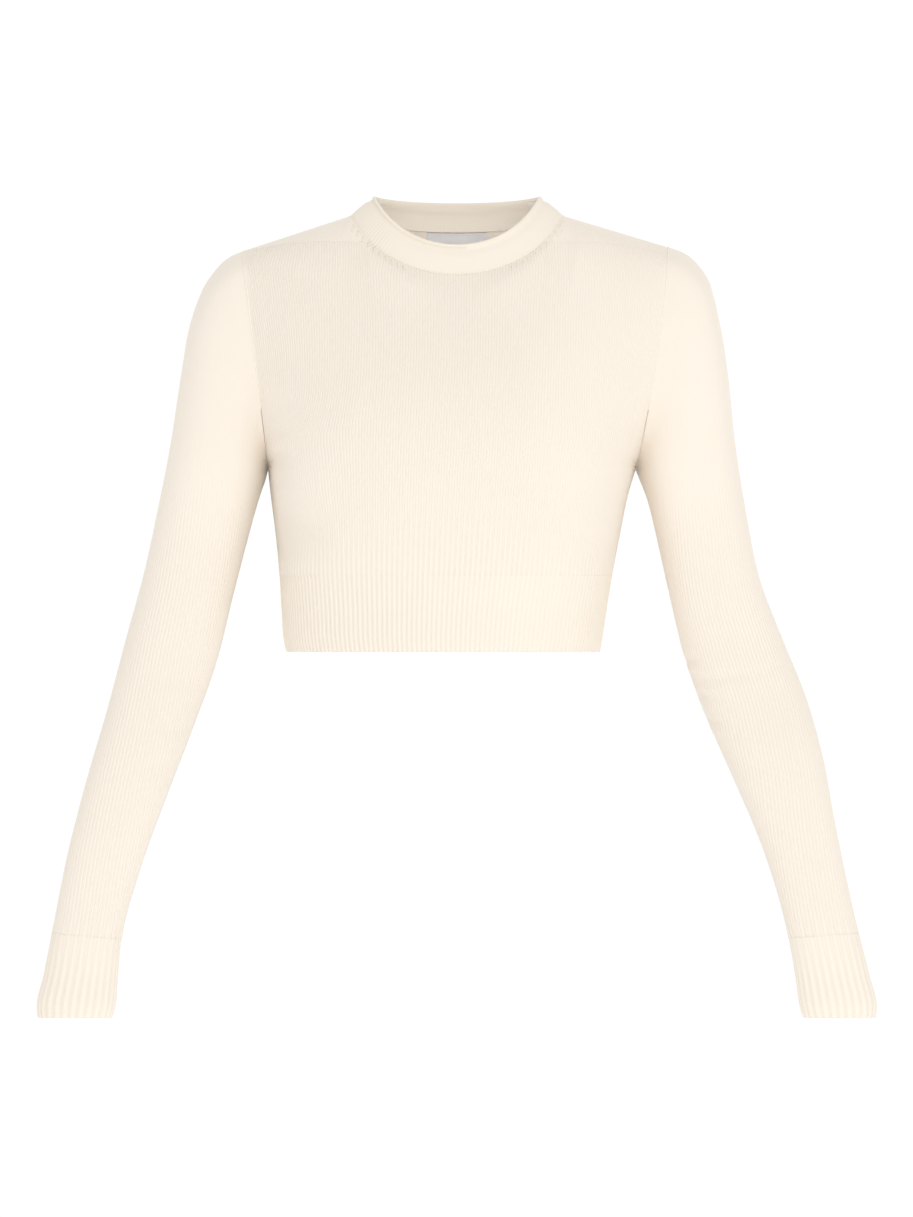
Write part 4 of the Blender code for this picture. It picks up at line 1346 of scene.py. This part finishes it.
def armhole_linking(sleeve, finish):
    """Row of linked loops over the seam between a sleeve and the body, round all but its low end."""
    near = sleeve.sheet.level_at((0.0, 1.0))
    ring, outward = near[0], sleeve.normals(near)[0]
    run = run_along(ring)
    start, end = ARMHOLE_LINKING_FROM, run[-1] - ARMHOLE_LINKING_FROM
    at = np.linspace(start, end, round((end - start) / ARMHOLE_LINKING_SPACING))
    places = (read_off(line, run, at) for line in (ring, np.gradient(ring, axis=0), outward))
    return stitching(sleeve.side + "_armhole_linking", "armhole", "knit", finish, *places)


def label_stitches(finish):
    """Small stitches that hold the label along its top edge."""
    net = label_net()
    inward = net_normals(net)[-2]
    row = net[-2] + inward * (RELIEFS["label"].wall + LABEL_STITCH_STANDS_OUT)
    pick = np.arange(1, len(row) - 1, 2)
    along = np.gradient(row, axis=0)[pick]
    return stitching("label_stitches", "label", "label", finish, row[pick], along, inward[pick])


def knitting(name, grids, relief, finish, slot, node):
    """A piece of knitting with its relief and its wall, in place of a node."""
    relief = RELIEFS[relief]
    depths = zip(("Wale Depth", "Rib Depth", "Seam Depth", "Seam Width"), relief)
    values = {label: depth * MM for label, depth in depths}
    values.update({"Seam Shade": relief.shade, "Finish": finish})
    piece = baked(name, new_cloth_mesh(name, grids), RELIEF_TREE, values, relief.wall)
    return place_piece(piece, slot, node)


def make_top():
    knit, rib, shaded = (knit_material(name, *finish) for name, finish in KNIT_FINISHES.items())
    tape = label_material()
    body = Body()
    # The fashioning marks get the darker stitch finish: shade painted for the small holes there
    marks = {face: fashioning_marks(face, shaded) for face in FACES}
    for face in FACES:
        strips = sorted(SIDES) if face == "back" else ()
        grids = [body.panel_grid(face)] + [body.strip_grid(side) for side in strips]
        panel = knitting(face + "_panel", grids, "body", knit, "knit", face)

    for side in SIDES:
        sleeve = Sleeve(body, side)
        net, grid = sleeve.sleeve_grid()
        arm = knitting(side + "_arm", [grid], "sleeve", knit, "knit", side + "_sleeve")
        armhole_linking(sleeve, knit)
        linking = cuff_linking(sleeve, rib)
        net, grid = sleeve.cuff_grid()
        cuff = knitting(side + "_wrist_rib", [grid], "cuff", rib, "rib", side + "_cuff")

    for face in FACES:
        net, grid = hem_grid(face, body.shares)
        hem = knitting(face + "_waist_rib", [grid], "hem", rib, "rib", face + "_hem_rib")

    linking = neck_linking(rib)
    net, grid = neckband_grid()
    band = knitting("rolled_neckband", [grid], "neckband", rib, "rib", "neckband")

    stitches = label_stitches(tape)
    net, grid = label_grid()
    label = knitting("blank_label", [grid], "label", tape, "label", "neck_label")


# ---------------------------------------------------------------- studio


def make_lamps():
    for name, lamp in LAMPS.items():
        light = bpy.data.lights.new(name, "AREA")
        light.shape = "DISK"
        light.size, light.energy, light.color = lamp.size, lamp.power, lamp.colour
        placed = new_object(name, light)
        placed.location = lamp.place
        way = Vector(lamp.target) - Vector(lamp.place)
        placed.rotation_euler = way.to_track_quat("-Z", "Y").to_euler()
        placed.visible_camera = False


def make_world():
    """Soft light all round, a little weaker from above, in front of a white backdrop."""
    world = bpy.data.worlds.new("studio")
    world.use_nodes = True
    tree = world.node_tree
    tree.nodes.clear()
    ways = tree.nodes.new("ShaderNodeTexCoord").outputs["Generated"]
    height = add_node(tree, "ShaderNodeSeparateXYZ", {0: ways}).outputs[2]
    strength = calc(tree, "MULTIPLY_ADD", height, WORLD_LIGHT_ABOVE - WORLD_LIGHT, WORLD_LIGHT)
    strength = calc(tree, "MINIMUM", strength, WORLD_LIGHT)
    lit = add_node(tree, "ShaderNodeBackground", {"Color": WORLD_COLOUR, "Strength": strength})
    seen = add_node(tree, "ShaderNodeBackground", {"Color": WHITE, "Strength": BACKDROP})
    path = tree.nodes.new("ShaderNodeLightPath").outputs["Is Camera Ray"]
    choice = add_node(tree, "ShaderNodeMixShader", {0: path, 1: lit, 2: seen})
    add_node(tree, "ShaderNodeOutputWorld", {0: choice})
    bpy.context.scene.world = world


def make_floor():
    work = bmesh.new()
    bmesh.ops.create_circle(work, cap_ends=True, radius=FLOOR_RADIUS, segments=FLOOR_SEGMENTS)
    mesh = bpy.data.meshes.new("floor")
    work.to_mesh(mesh)
    work.free()
    pale, _, shader = new_material("pale_floor", FLOOR_ROUGHNESS, 0.0)
    shader["Base Color"].default_value = FLOOR_TONE
    shader["Emission Color"].default_value = WHITE
    shader["Emission Strength"].default_value = FLOOR_GLOW
    mesh.materials.append(pale)
    floor = new_object("floor", mesh)
    floor.location = (0.0, 0.0, FLOOR_HEIGHT)


def make_camera():
    lens = bpy.data.cameras.new("camera")
    lens.sensor_fit = "AUTO"
    lens.sensor_width = SENSOR
    lens.lens = SENSOR * CAMERA_DISTANCE / VIEW_HEIGHT
    camera = new_object("camera", lens)
    camera.location = Vector(VIEW_CENTRE) - Vector((0.0, CAMERA_DISTANCE, 0.0))
    camera.rotation_euler = (math.pi / 2, 0.0, 0.0)
    bpy.context.scene.camera = camera
    bpy.context.scene.view_settings.view_transform = "Standard"


make_camera()
RELIEF_TREE, STITCH_TREE = relief_tree(), stitch_tree()
STITCH_GROUP, NAP_GROUP = stitch_group(), nap_group()
make_top()
make_lamps()
make_world()
make_floor()
